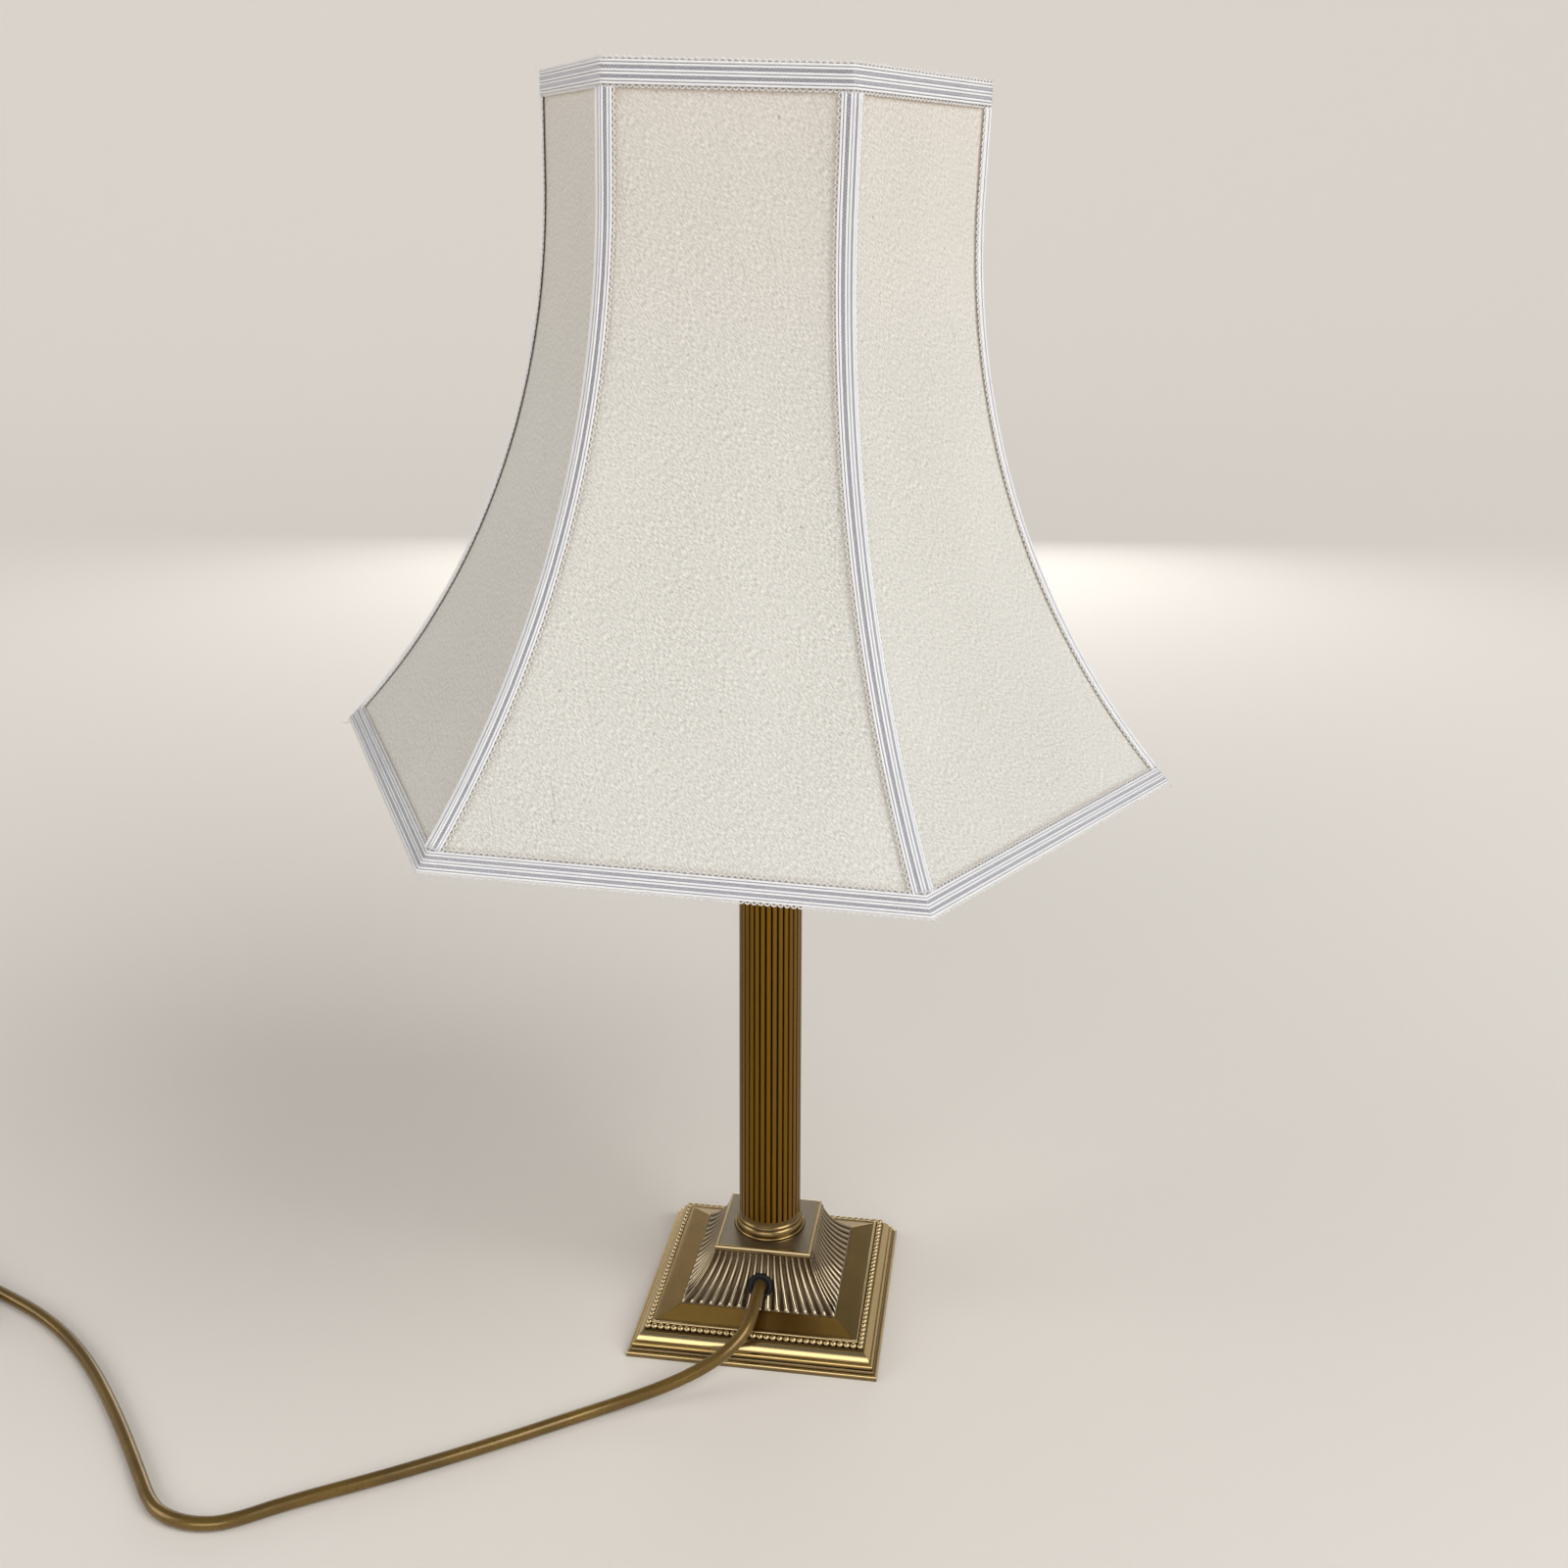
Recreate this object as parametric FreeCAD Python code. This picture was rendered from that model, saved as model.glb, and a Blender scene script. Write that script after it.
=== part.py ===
import FreeCAD, Part
import math
import os

# Column table lamp: a square stepped brass base with a reeded pyramid, a reeded
# column, a bayonet lampholder with a push-bar switch, a shade carrier and a
# six-sided bowed fabric shade edged with braid.
# Millimetres, +Z up. The origin is the middle of the base's underside, on the table.

os.makedirs("parts", exist_ok=True)
V = FreeCAD.Vector
UP = V(0, 0, 1)
ORIGIN = V(0, 0, 0)

# ---------------------------------------------------------------- clearances
RUNNING = 0.05          # radial, a piece that turns or slides in another
FIXED = 0.05            # radial, a screwed or pushed-in piece
SEAT_GAP = 0.1          # between two seats that part from each other

# ---------------------------------------------------------------- base casting
foot_half = 65.0        # half the side of the square foot
foot_edge = 2.0         # height of the foot's upright edge
pyramid_half = 40.6     # half the side of the reeded pyramid at its foot
pyramid_z = 18.0        # where the sloping plateau meets the pyramid
neck_half = 24.9        # half the side of the pyramid under its lip
lip_h = 2.8             # from the reeds' tops to the platform's top
waist_sag = 2.2         # how far the pyramid's side bows in from straight
platform_half = 25.3    # half the side of the platform's lip
platform_z = 44.4
neck_z = platform_z - lip_h
lip_round = 1.2
lip_under = 0.3         # how far the lip overhangs the reeds' tops
bead_seat_z = 12.2      # ledge that the beads sit on
bead_ledge_in = 11.0    # inset of the ledge's inner edge from the foot
casting_wall = 3.0
roof_z = platform_z - 4.0    # underside of the platform
ledge_z = bead_seat_z - 1.0  # underside of the plateau, on which the weight bears
throat_half = pyramid_half + 1.4     # the hollow's half width just under the pyramid
bead_under_z = 9.0      # underside of the foot's edge, below the beads' ledge
rim_ledge_z = 4.4       # underside of the foot's edge, next to its rim
reeds_per_side = 16
reed_foot_r = 1.35      # half the width of a reed at the pyramid's foot
reed_neck_r = 0.85
reed_foot_rise = 1.0     # how far a reed stands out
reed_neck_rise = 0.65
reed_root = 0.5         # how far the reeds' feet run on into the plateau
reed_runs = 3           # straight runs that follow the pyramid's bow

# ---------------------------------------------------------------- closing the base
felt_t = 1.5
plate_t = 1.2
plate_half = foot_half - 3.6
rim_ledge_half = foot_half - 6.4
weight_half = foot_half - 13.6
weight_hole_r = 9.0
plate_screw_at = foot_half - 27.0   # from the middle to a screw, along X and Y
plate_screw_r = 1.5
plate_screw_head_r = 3.2
plate_screw_len = 7.0
plate_screw_spare = 0.2  # left free above a screw's tip

# ---------------------------------------------------------------- rod and column
rod_r = 5.0
rod_bore_r = rod_r - 1.2
rod_bottom_z = roof_z - 6.0
washer_r = rod_r + 6.0
washer_t = 1.2
nut_across = 2 * rod_r + 7.0
nut_t = 4.0
column_r_foot = 16.45   # over the reeds
column_r_top = 15.55
column_len = 284.6
collar_r = column_r_foot + 2.35
collar_top_z = platform_z + 6.0
column_top_z = collar_top_z + column_len
column_reeds = 32
column_bore_r = column_r_top - 2.95
groove_depth = 0.75
groove_share = 0.2      # share of a reed's pitch that its groove takes
spigot_r = column_bore_r - FIXED
spigot_len = 6.0
capital_r = column_r_top + 1.85
capital_top_z = column_top_z + 8.0
rod_top_z = capital_top_z + 7.0

# ---------------------------------------------------------------- bulb
bulb_cap_r = 11.0
bulb_cap_h = 25.0
contact_t = 1.5
contact_r = 2.4
pin_r = 1.0
pin_lift = 6.7          # from the cap's foot to the pins
slot_turn = 16.0        # degrees that the bulb turns in the slot
bulb_r = 30.0
bulb_centre_up = 68.0   # from the cap's foot to the middle of the ball
bulb_neck_r = bulb_cap_r + 2.0
bulb_touch = -35.0      # degrees below level where the neck's line meets the ball
bulb_crown = 80.0
bulb_bands = 5

# ---------------------------------------------------------------- lampholder
holder_wall = 1.6
barrel_bore_r = bulb_cap_r + 0.3
barrel_r = barrel_bore_r + 2.9
barrel_h = 26.0
holder_r = barrel_r + 4.8
cap_neck_r = rod_r + 3.0
cap_h = 25.0
cap_neck_h = 5.0
cap_dome_h = 12.0       # from the capital to the dome's full width
cap_dome_t = 1.0
rod_end_out = 0.4       # the rod's end stands out of the cap's floor
wide_h = 18.0
cap_joint_z = capital_top_z + cap_h   # where the cap screws to the barrel
shoulder_z = cap_joint_z + wide_h     # top of the wide part, on which the carrier sits
barrel_top_z = shoulder_z + barrel_h
insert_top_z = shoulder_z + 1.0
insert_boss_r = barrel_bore_r - 0.3
insert_gap = 0.2        # between the insert and the barrel's shell
plunger_at = 6.0        # the plungers' distance from the axis, along X
plunger_r = 2.6
plunger_floor_z = cap_joint_z + 2.4
plunger_foot_z = cap_joint_z + 10.0
plunger_top_z = shoulder_z + 3.4
plunger_nose_r = 2.0
plunger_step = 3.0      # from the insert's top down to the plunger's wide part
spring_in = 0.3         # the spring's sleeve is this much smaller than the plunger
spring_t = 0.6
bar_y = 9.5             # the switch bar's distance from the axis
bar_z = cap_joint_z + 7.0
bar_r = 2.0
bar_half = holder_r + 2.0    # half the bar between its two buttons
bar_travel = 6.0
button_r = 2.9
button_len = 3.0
terminal_x = 8.0
terminal_y = -6.0
terminal_r = 2.2
terminal_h = 3.0
terminal_shank_r = 1.2
terminal_shank_h = 1.8
terminal_hole_r = terminal_shank_r + FIXED
terminal_hole_h = 2.0
earth_y = 9.5
earth_r = 2.4

bulb_foot_z = plunger_top_z + SEAT_GAP + contact_t
bulb_cap_top_z = bulb_foot_z + bulb_cap_h
bulb_centre_z = bulb_foot_z + bulb_centre_up
pin_z = bulb_foot_z + pin_lift
pin_reach = barrel_r - 0.7
slot_half = pin_r + 0.35     # half the width of the bayonet slot

# ---------------------------------------------------------------- shade carrier
ring_nut_r = barrel_r + 6.3
ring_nut_t = 6.0
ring_nut_notches = 8
ring_nut_notch_r = 2.4
seat_inner_r = barrel_r + 0.3
seat_r = seat_inner_r + 9.5
seat_t = 2.0
arm_w = 6.0
arm_t = 2.0
arm_r = 49.0            # distance of the upright arms from the axis
carrier_arms = 3
carrier_ring_r = arm_r + 4.0
carrier_ring_inner_r = arm_r - 3.0
carrier_ring_t = 1.6
carrier_ring_z = shoulder_z + 182.0   # top of the ring, in the shade's own upright frame

# ---------------------------------------------------------------- shade
shade_sides = 6
shade_h = 304.6
shade_top_z = carrier_ring_z + 47.0
shade_bottom_z = shade_top_z - shade_h
shade_top_half = 84.2   # from the axis to the middle of a side, at the top
bow_start_z = shade_top_z - 45.0   # below this height the sides sweep outwards
bow_r = 410.0
panel_t = 1.2
lining_gap = 3.4        # between fabric and lining, where the frame lies
lining_t = 0.8
lining_up = 4.0         # the lining ends this far above the shade's bottom
lining_down = 7.0       # and this far below its top
shade_margin = 10.0     # how far a mitre's wedge reaches beyond the shade
wire_r = 1.25
wire_drop = 3.5         # from the fabric's edge to the wire's middle
wire_sides = 8
strut_t = 2.0
frame_gap = 0.5         # between the fabric and the wires of the frame
strut_gap = 0.9         # the struts lie further in, clear of the corner's two panels
braid_w = 10.6
bottom_braid_w = braid_w * 0.72
braid_t = 1.9
strut_braid_t = 1.5
strut_braid_half = 5.3
braid_seat = 0.1        # glue line between fabric and braid
spider_drop_r = shade_top_half - 14.2   # where the spider's arms turn down
spider_arm_w = 4.0
spider_arm_t = 2.4
spider_ring_r = carrier_ring_r - 1.0
spider_ring_inner_r = carrier_ring_inner_r - 1.0
spider_ring_t = 1.8
spider_arm_over = 1.0   # how far an arm's foot laps over the ring
lean_about_x = 1.67     # degrees: the bent carrier lets the shade lean
lean_about_y = 1.77
lean_pivot_z = shade_top_z - 5.2
shade_shift_x = -4.26
shade_shift_y = -2.86

# ---------------------------------------------------------------- cord
cord_d = 6.5
cord_r = cord_d / 2
cord_sides = 8          # facets of the run and the coil
gland_z = 26.7          # height of the cord's hole in the front of the pyramid
gland_flange_r = cord_r + 3.4
gland_flange_t = 1.5
gland_barrel_r = cord_r + 1.65
gland_reach = 7.5       # how far the gland's barrel goes inwards
gland_barrel_out = 0.6  # and outwards, into the flange
gland_bore_r = cord_r + 0.35
gland_chamfer = 0.5
exit_rise = 9.4         # degrees above level at which the cord leaves
exit_reach = 3.0
tail_len = 22.0         # sheathed cord inside the base
core_r = 1.0
core_step = 2.1
core_sides = 6
core_bend_share = 0.45  # where the cores turn up, from the rod's axis to the sheath's end
core_under_rod = 5.0
core_over_rod = 2.0
core_parting = 9.0      # from the rod's top to where the cores have parted
clamp_w = 18.0
clamp_t = 3.0
clamp_len = 8.0
clamp_back = 0.5        # the sheath's end stands out of the clamp
clamp_gap = 0.02

# The put-away length lies in a coil just outside the view, on two ties.
coil_x = -463.0
coil_y = -100.0
coil_z = cord_r + 1.15  # height of the lower layer's centre line, over the ties
coil_mean_r = 35.35
coil_turns = 5.4
coil_pitch = cord_d + 0.5    # from one turn to the next, across and up
coil_start = 68.3       # degrees, where the cord runs on to the coil
coil_tail = 20.0        # straight length from the last turn to the plug's relief
tie_t = 0.9
tie_w = 7.0
tie_slack = 0.3
tie_angles = (150.0, 330.0)

# The cord's route from the gland to the coil, as it lies in front of the base
# and on the table. The first point is worked out from the gland.
lie_z = cord_r + 0.05   # height of the cord's centre line on the table
cord_route = [
    (0.0, -48.5, 29.2),
    (-0.3, -60.2, 26.8),
    (-4.2, -71.2, 22.4),
    (-13.8, -81.2, 16.9),
    (-30.3, -90.4, 10.2),
    (-51.5, -100.9, 5.4),
    (-76.3, -115.2, lie_z),
    (-110.0, -139.3, lie_z),
    (-152.0, -167.0, lie_z),
    (-192.3, -190.6, lie_z),
    (-212.5, -205.5, lie_z),
    (-226.0, -209.1, lie_z),
    (-239.9, -207.8, lie_z),
    (-252.5, -201.7, lie_z),
    (-268.4, -183.6, lie_z),
    (-299.4, -149.3, lie_z),
    (-336.4, -113.2, lie_z),
    (-373.0, -87.6, lie_z + 0.4),
    (-414.2, -70.2, coil_z),
]

plug_len = 42.0
plug_w = 49.0
plug_shoulder = 16.0    # length over which the body widens from its neck
plug_corner = 6.0       # cut off the far corners
plug_neck_w = 22.0
plug_h = 21.0
plug_round = 3.0
relief_len = 26.0
relief_r_foot = cord_r + 2.35
relief_r_tip = cord_r + 1.15
pin_rise = 17.7
earth_pin_rise = 22.7
line_pin = (4.0, 6.4)
earth_pin = (4.0, 8.0)
line_pin_apart = 22.2
earth_pin_ahead = 22.2
fuse_cover = (24.0, 7.5, 1.6)        # across the plug, along it, deep
fuse_cover_at = 14.0    # from the relief's foot
line_pins_at = 10.0



# ================================================================ helpers
def save(name, shape):
    shape.exportStep("parts/" + name + ".step")


def outline(steps, place):
    """A closed wire through steps: (a, z) is a line's end, (am, zm, a, z) an arc's middle and end."""
    edges = []
    start = place(*steps[0])
    here = start
    for step in steps[1:]:
        end = place(*step[-2:])
        if len(step) == 2:
            edges.append(Part.LineSegment(here, end).toShape())
        else:
            edges.append(Part.Arc(here, place(*step[:2]), end).toShape())
        here = end
    if here.distanceToPoint(start) > 1e-6:
        edges.append(Part.LineSegment(here, start).toShape())
    return Part.Wire(edges)


def in_xz(a, z):
    return V(a, 0, z)


def turned(steps):
    """A solid of revolution about Z from an outline of (radius, height)."""
    return Part.Face(outline(steps, in_xz)).revolve(ORIGIN, UP, 360)


def tube_up(radius, bore, bottom, top):
    return turned([(bore, bottom), (radius, bottom), (radius, top), (bore, top)])


def rod_up(radius, bottom, top, x=0.0, y=0.0):
    return Part.makeCylinder(radius, top - bottom, V(x, y, bottom))


def wedge(sides, reach, bottom, top, inset=0.0):
    """One side's share of a regular prism about +X, its mitre faces moved in by inset."""
    slope = math.tan(math.pi / sides)
    tip = inset / slope
    corners = [
        V(tip, 0, bottom),
        V(tip + reach, -reach * slope, bottom),
        V(tip + reach, reach * slope, bottom),
        V(tip, 0, bottom),
    ]
    return Part.Face(Part.makePolygon(corners)).extrude(V(0, 0, top - bottom))


def one_side(steps, sides, reach, bottom, top):
    """A moulding of the given outline along one side, mitred at both ends."""
    half = reach * math.tan(math.pi / sides) + 1
    face = Part.Face(outline(steps, lambda a, z: V(a, -half, z)))
    return face.extrude(V(0, 2 * half, 0)).common(wedge(sides, reach, bottom, top))


def turned_copies(shape, count, first=0.0):
    return [shape.rotated(ORIGIN, UP, first + 360.0 * i / count) for i in range(count)]


def joined(shapes):
    whole = shapes[0].multiFuse(shapes[1:]).removeSplitter()
    return whole.Solids[0] if len(whole.Solids) == 1 else whole


def mitred(steps, sides, reach, bottom, top, first=0.0):
    """The moulding carried round all the sides of a regular prism."""
    return joined(turned_copies(one_side(steps, sides, reach, bottom, top), sides, first))


def middle_of_arc(start, end, sag):
    """The point midway on an arc that bows to the right of start-to-end by sag."""
    run, rise = end[0] - start[0], end[1] - start[1]
    length = math.hypot(run, rise)
    return (
        (start[0] + end[0]) / 2 + sag * rise / length,
        (start[1] + end[1]) / 2 - sag * run / length,
    )


def circle_of(a, b, c):
    """Centre and radius of the circle through three (half, height) points."""
    circle = Part.Arc(in_xz(*a), in_xz(*b), in_xz(*c)).toShape().Curve
    return circle.Center.x, circle.Center.z, circle.Radius


def rounded_path(points):
    """Straight runs joined by tangent arcs, each as large as its two runs allow."""
    edges, radii = [], []
    here = points[0]
    for before, corner, after in zip(points, points[1:], points[2:]):
        back, ahead = before - corner, after - corner
        turn = math.pi - back.getAngle(ahead)
        reach = 0.45 * min(back.Length, ahead.Length)
        radius = reach / math.tan(turn / 2)
        back.normalize()
        ahead.normalize()
        first, last = corner + back * reach, corner + ahead * reach
        inward = back + ahead
        inward.normalize()
        centre = corner + inward * math.hypot(radius, reach)
        edges.append(Part.LineSegment(here, first).toShape())
        edges.append(Part.Arc(first, centre - inward * radius, last).toShape())
        radii.append(radius)
        here = last
    edges.append(Part.LineSegment(here, points[-1]).toShape())
    return Part.Wire(edges), radii


def facet_ring(radius, centre, direction, sides, side_way):
    """A polygon of the circle's own area, square to direction, its first axis side_way."""
    corner_r = radius * math.sqrt(2 * math.pi / sides / math.sin(2 * math.pi / sides))
    other = side_way.cross(direction)
    other.normalize()
    points = []
    for i in range(sides + 1):
        angle = 2 * math.pi * (i % sides + 0.5) / sides
        points.append(centre + side_way * (corner_r * math.cos(angle))
                      + other * (corner_r * math.sin(angle)))
    return Part.makePolygon(points)


def tube_along(points, radius, sides, side_way):
    """A tube of many facets along a rounded path, with the path's length and radii."""
    path, radii = rounded_path(points)
    ring = facet_ring(radius, points[0], points[1] - points[0], sides, side_way)
    solid = path.makePipeShell([ring], True, False)
    expected = math.pi * radius**2 * path.Length
    if abs(solid.Volume - expected) > 0.01 * expected:
        raise ValueError("the tube's volume isn't its section times its length")
    return solid, path.Length, radii


# ================================================================ base casting
foot_corner = (pyramid_half, pyramid_z)
neck_corner = (neck_half, neck_z)
waist = middle_of_arc(neck_corner, foot_corner, waist_sag)
waist_h, waist_z, waist_r = circle_of(foot_corner, waist, neck_corner)


def pyramid_at(z):
    """Half the pyramid's side at a height, and its outward normal there as (out, up)."""
    half = waist_h - math.sqrt(waist_r**2 - (z - waist_z) ** 2)
    return half, ((waist_h - half) / waist_r, (waist_z - z) / waist_r)


def foot_steps():
    """The moulded edge from the table up to the plateau, in from the foot's edge."""
    inset_steps = [
        (0.0, 0.0),
        (0.0, foot_edge),
        (0.25, 2.65, 0.9, 2.9),
        (1.7, 3.0),
        (1.65, 3.9, 2.5, 4.5),
        (3.0, 4.6),
        (2.5, 5.8, 3.3, 6.9),
        (4.1, 7.1),
        (5.1, 9.8, 7.5, 11.4),
        (7.9, 11.5),
        (7.9, bead_seat_z),
        (bead_ledge_in, bead_seat_z),
        (bead_ledge_in, bead_seat_z + 2.1),
        (bead_ledge_in + 1.4, bead_seat_z + 2.4),
    ]
    steps = []
    for step in inset_steps:
        if len(step) == 2:
            steps.append((foot_half - step[0], step[1]))
        else:
            steps.append((foot_half - step[0], step[1], foot_half - step[2], step[3]))
    return steps


def plinth():
    """The moulded foot and sloping plateau, solid up to the pyramid's foot."""
    steps = foot_steps() + [foot_corner, (0.0, pyramid_z), (0.0, 0.0)]
    return mitred(steps, 4, foot_half + 1, -1, pyramid_z + 1)


def platform():
    """The lip over the reeds and the flat that the column stands on."""
    flat = platform_half - lip_round
    cut_in = lip_round * (1 - math.sqrt(0.5))
    steps = [
        (0.0, neck_z),
        (flat, neck_z),
        (platform_half, neck_z + lip_under),
        (platform_half, platform_z - lip_round),
        (platform_half - cut_in, platform_z - cut_in, flat, platform_z),
        (0.0, platform_z),
    ]
    return mitred(steps, 4, foot_half, neck_z - 1, platform_z + 1)


def casting_hollow():
    """The casting's inside, with the seats of the weight, the plate and the felt."""
    inner_neck = (neck_half - casting_wall, roof_z)
    inner_foot = (pyramid_half - casting_wall, pyramid_z - casting_wall)
    inner_waist = middle_of_arc(inner_neck, inner_foot, waist_sag)
    steps = [
        (0.0, roof_z),
        inner_neck,
        (*inner_waist, *inner_foot),
        (throat_half, ledge_z),
        (weight_half + 2 * FIXED, ledge_z),
        (foot_half - bead_ledge_in, bead_under_z),
        (rim_ledge_half, rim_ledge_z),
        (rim_ledge_half, felt_t + plate_t),
        (plate_half, felt_t + plate_t),
        (plate_half, -1.0),
        (0.0, -1.0),
    ]
    return mitred(steps, 4, foot_half, -2, roof_z + 1)


def reeded_square(half, reed_half, height, z):
    """Outline of the pyramid at a height: reeds along all four sides and on the corners."""
    side = []
    for i in range(1, reeds_per_side):
        middle = half * (2.0 * i / reeds_per_side - 1.0)
        side += [
            (middle - reed_half, 0.0),
            (middle - reed_half / 2, height),
            (middle + reed_half / 2, height),
            (middle + reed_half, 0.0),
        ]
    side += [
        (half - reed_half, 0.0),
        (half - reed_half / 2, height * 0.9),
        (half + height * 0.6, height * 0.6),
        (half + height * 0.9, -reed_half / 2),
        (half, -reed_half),
    ]
    points = []
    for k in range(4):
        turn = FreeCAD.Rotation(UP, 90.0 * k)
        points += [turn.multVec(V(along, -half - out, z)) for along, out in side]
    return Part.makePolygon(points + points[:1])


def reeded_pyramid():
    """The hollow-sided pyramid, its reeds fanning from the neck to the foot."""
    wires = []
    bottom, top = pyramid_z - reed_root, neck_z + lip_under
    for i in range(reed_runs + 1):
        share = i / reed_runs
        z = bottom + share * (top - bottom)
        reed_half = reed_foot_r + share * (reed_neck_r - reed_foot_r)
        height = reed_foot_rise + share * (reed_neck_rise - reed_foot_rise)
        wires.append(reeded_square(pyramid_at(z)[0], reed_half, height, z))
    return Part.makeLoft(wires, True, True)


gland_half, (gland_out, gland_up) = pyramid_at(gland_z)
gland_centre = V(0, -gland_half, gland_z)
gland_normal = V(0, -gland_out, gland_up)
rise = math.radians(exit_rise)
cord_out = V(0, -math.cos(rise), math.sin(rise))
cord_exit = gland_centre + cord_out * exit_reach


def along_cord(radius, start, end):
    """A round bar on the cord's axis at the gland, from start to end outwards."""
    return Part.makeCylinder(radius, end - start, gland_centre + cord_out * start, cord_out)


def base_casting():
    body = plinth().fuse([reeded_pyramid(), platform()])
    cuts = [
        casting_hollow(),
        rod_up(rod_r + FIXED, roof_z - 1, platform_z + 1),
        along_cord(gland_barrel_r + FIXED, -gland_reach, gland_reach * 2),
        Part.makeCylinder(gland_flange_r + FIXED, foot_half, gland_centre, gland_normal),
    ]
    for cut in cuts:
        body = body.cut(cut)
    return body.Solids[0]


save("base_casting", base_casting())


# ================================================================ inside and under the base
def screw_places():
    return [(x * plate_screw_at, y * plate_screw_at) for x in (-1, 1) for y in (-1, 1)]


def base_felt():
    side = 2 * (plate_half - FIXED)
    return Part.makeBox(side, side, felt_t, V(-side / 2, -side / 2, 0))


def base_plate():
    side = 2 * (plate_half - FIXED)
    plate = Part.makeBox(side, side, plate_t, V(-side / 2, -side / 2, felt_t))
    for x, y in screw_places():
        plate = plate.cut(rod_up(plate_screw_head_r + FIXED, 0, felt_t + plate_t + 1, x, y))
    return plate


def base_weight():
    bottom = felt_t + plate_t
    side = 2 * weight_half
    slab = Part.makeBox(side, side, ledge_z - bottom, V(-weight_half, -weight_half, bottom))
    slab = slab.cut(rod_up(weight_hole_r, 0, ledge_z + 1))
    for x, y in screw_places():
        tip = bottom + plate_screw_len + plate_screw_spare
        slab = slab.cut(rod_up(plate_screw_r + FIXED, 0, tip, x, y))
    return slab


def plate_screws():
    screws = []
    bottom = felt_t + plate_t
    for x, y in screw_places():
        head = rod_up(plate_screw_head_r, felt_t, bottom, x, y)
        screws.append(head.fuse(rod_up(plate_screw_r, bottom, bottom + plate_screw_len, x, y)))
    return Part.makeCompound([screw.Solids[0] for screw in screws])


def hexagon_up(across, bottom, top):
    corner = across / math.sqrt(3)
    points = [
        V(corner * math.cos(math.radians(60 * i)), corner * math.sin(math.radians(60 * i)), bottom)
        for i in range(7)
    ]
    return Part.Face(Part.makePolygon(points)).extrude(V(0, 0, top - bottom))


def rod_nut():
    top = roof_z - washer_t
    return hexagon_up(nut_across, top - nut_t, top).cut(rod_up(rod_r + FIXED, 0, roof_z))


save("base_felt", base_felt())
save("base_plate", base_plate())
save("base_weight", base_weight())
save("plate_screws", plate_screws())
save("threaded_rod", tube_up(rod_r, rod_bore_r, rod_bottom_z, rod_top_z))
save("rod_washer", tube_up(washer_r, rod_r + FIXED, roof_z - washer_t, roof_z))
save("rod_nut", rod_nut())


# ================================================================ column
def column_collar():
    """Foot ring, torus drawn in three bands and fillet, with a spigot in the column's bore."""
    step_z = platform_z + 1.8
    torus_r = collar_r - 1.3
    fillet_z = collar_top_z - 0.9
    return turned([
        (rod_r + FIXED, platform_z),
        (collar_r, platform_z),
        (collar_r, step_z),
        (torus_r, step_z),
        (torus_r + 0.7, step_z + 0.7),
        (torus_r + 0.7, fillet_z - 0.9),
        (torus_r - 0.4, fillet_z),
        (torus_r - 0.4, collar_top_z),
        (spigot_r, collar_top_z),
        (spigot_r, collar_top_z + spigot_len),
        (rod_r + FIXED, collar_top_z + spigot_len),
    ])


def reeded_ring(radius, z):
    """The column's outline: round reeds with a narrow flat-bottomed groove between each two."""
    pitch = 2 * math.pi / column_reeds
    half_groove = pitch * groove_share / 2
    low = radius - groove_depth

    def at(r, angle):
        return V(r * math.cos(angle), r * math.sin(angle), z)

    edges = []
    for i in range(column_reeds):
        start = i * pitch
        left = at(low, start + half_groove)
        right = at(low, start + pitch - half_groove)
        edges.append(Part.LineSegment(at(low, start - half_groove), left).toShape())
        edges.append(Part.Arc(left, at(radius, start + pitch / 2), right).toShape())
    return Part.Wire(edges)


def column_shaft():
    rings = [
        reeded_ring(column_r_foot, collar_top_z),
        reeded_ring(column_r_top, column_top_z),
    ]
    shaft = Part.makeLoft(rings, True, True)
    return shaft.cut(rod_up(column_bore_r, collar_top_z - 1, column_top_z + 1))


def column_capital():
    """Hidden under the shade: a plain turned cap that centres the rod and carries the holder."""
    lip_z = column_top_z + 3.0
    return turned([
        (rod_r + FIXED, column_top_z - spigot_len),
        (spigot_r, column_top_z - spigot_len),
        (spigot_r, column_top_z),
        (capital_r, column_top_z),
        (capital_r, lip_z),
        (cap_neck_r + 2.0, capital_top_z),
        (rod_r + FIXED, capital_top_z),
    ])


save("column_collar", column_collar())
save("column_shaft", column_shaft())
save("column_capital", column_capital())


# ================================================================ lampholder
def bar_along_x(radius, reach):
    return Part.makeCylinder(radius, 2 * reach, V(-reach, bar_y, bar_z), V(1, 0, 0))


def lampholder_cap():
    """Neck on the rod and a dome out to the holder's full width, open at the top."""
    inner_r = holder_r - holder_wall
    return turned([
        (rod_r + FIXED, capital_top_z),
        (cap_neck_r, capital_top_z),
        (cap_neck_r, capital_top_z + cap_neck_h),
        (holder_r, capital_top_z + cap_dome_h),
        (holder_r, cap_joint_z),
        (inner_r, cap_joint_z),
        (inner_r, capital_top_z + cap_dome_h + cap_dome_t),
        (cap_neck_r, rod_top_z - rod_end_out),
        (rod_r + FIXED, rod_top_z - rod_end_out),
    ])


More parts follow.
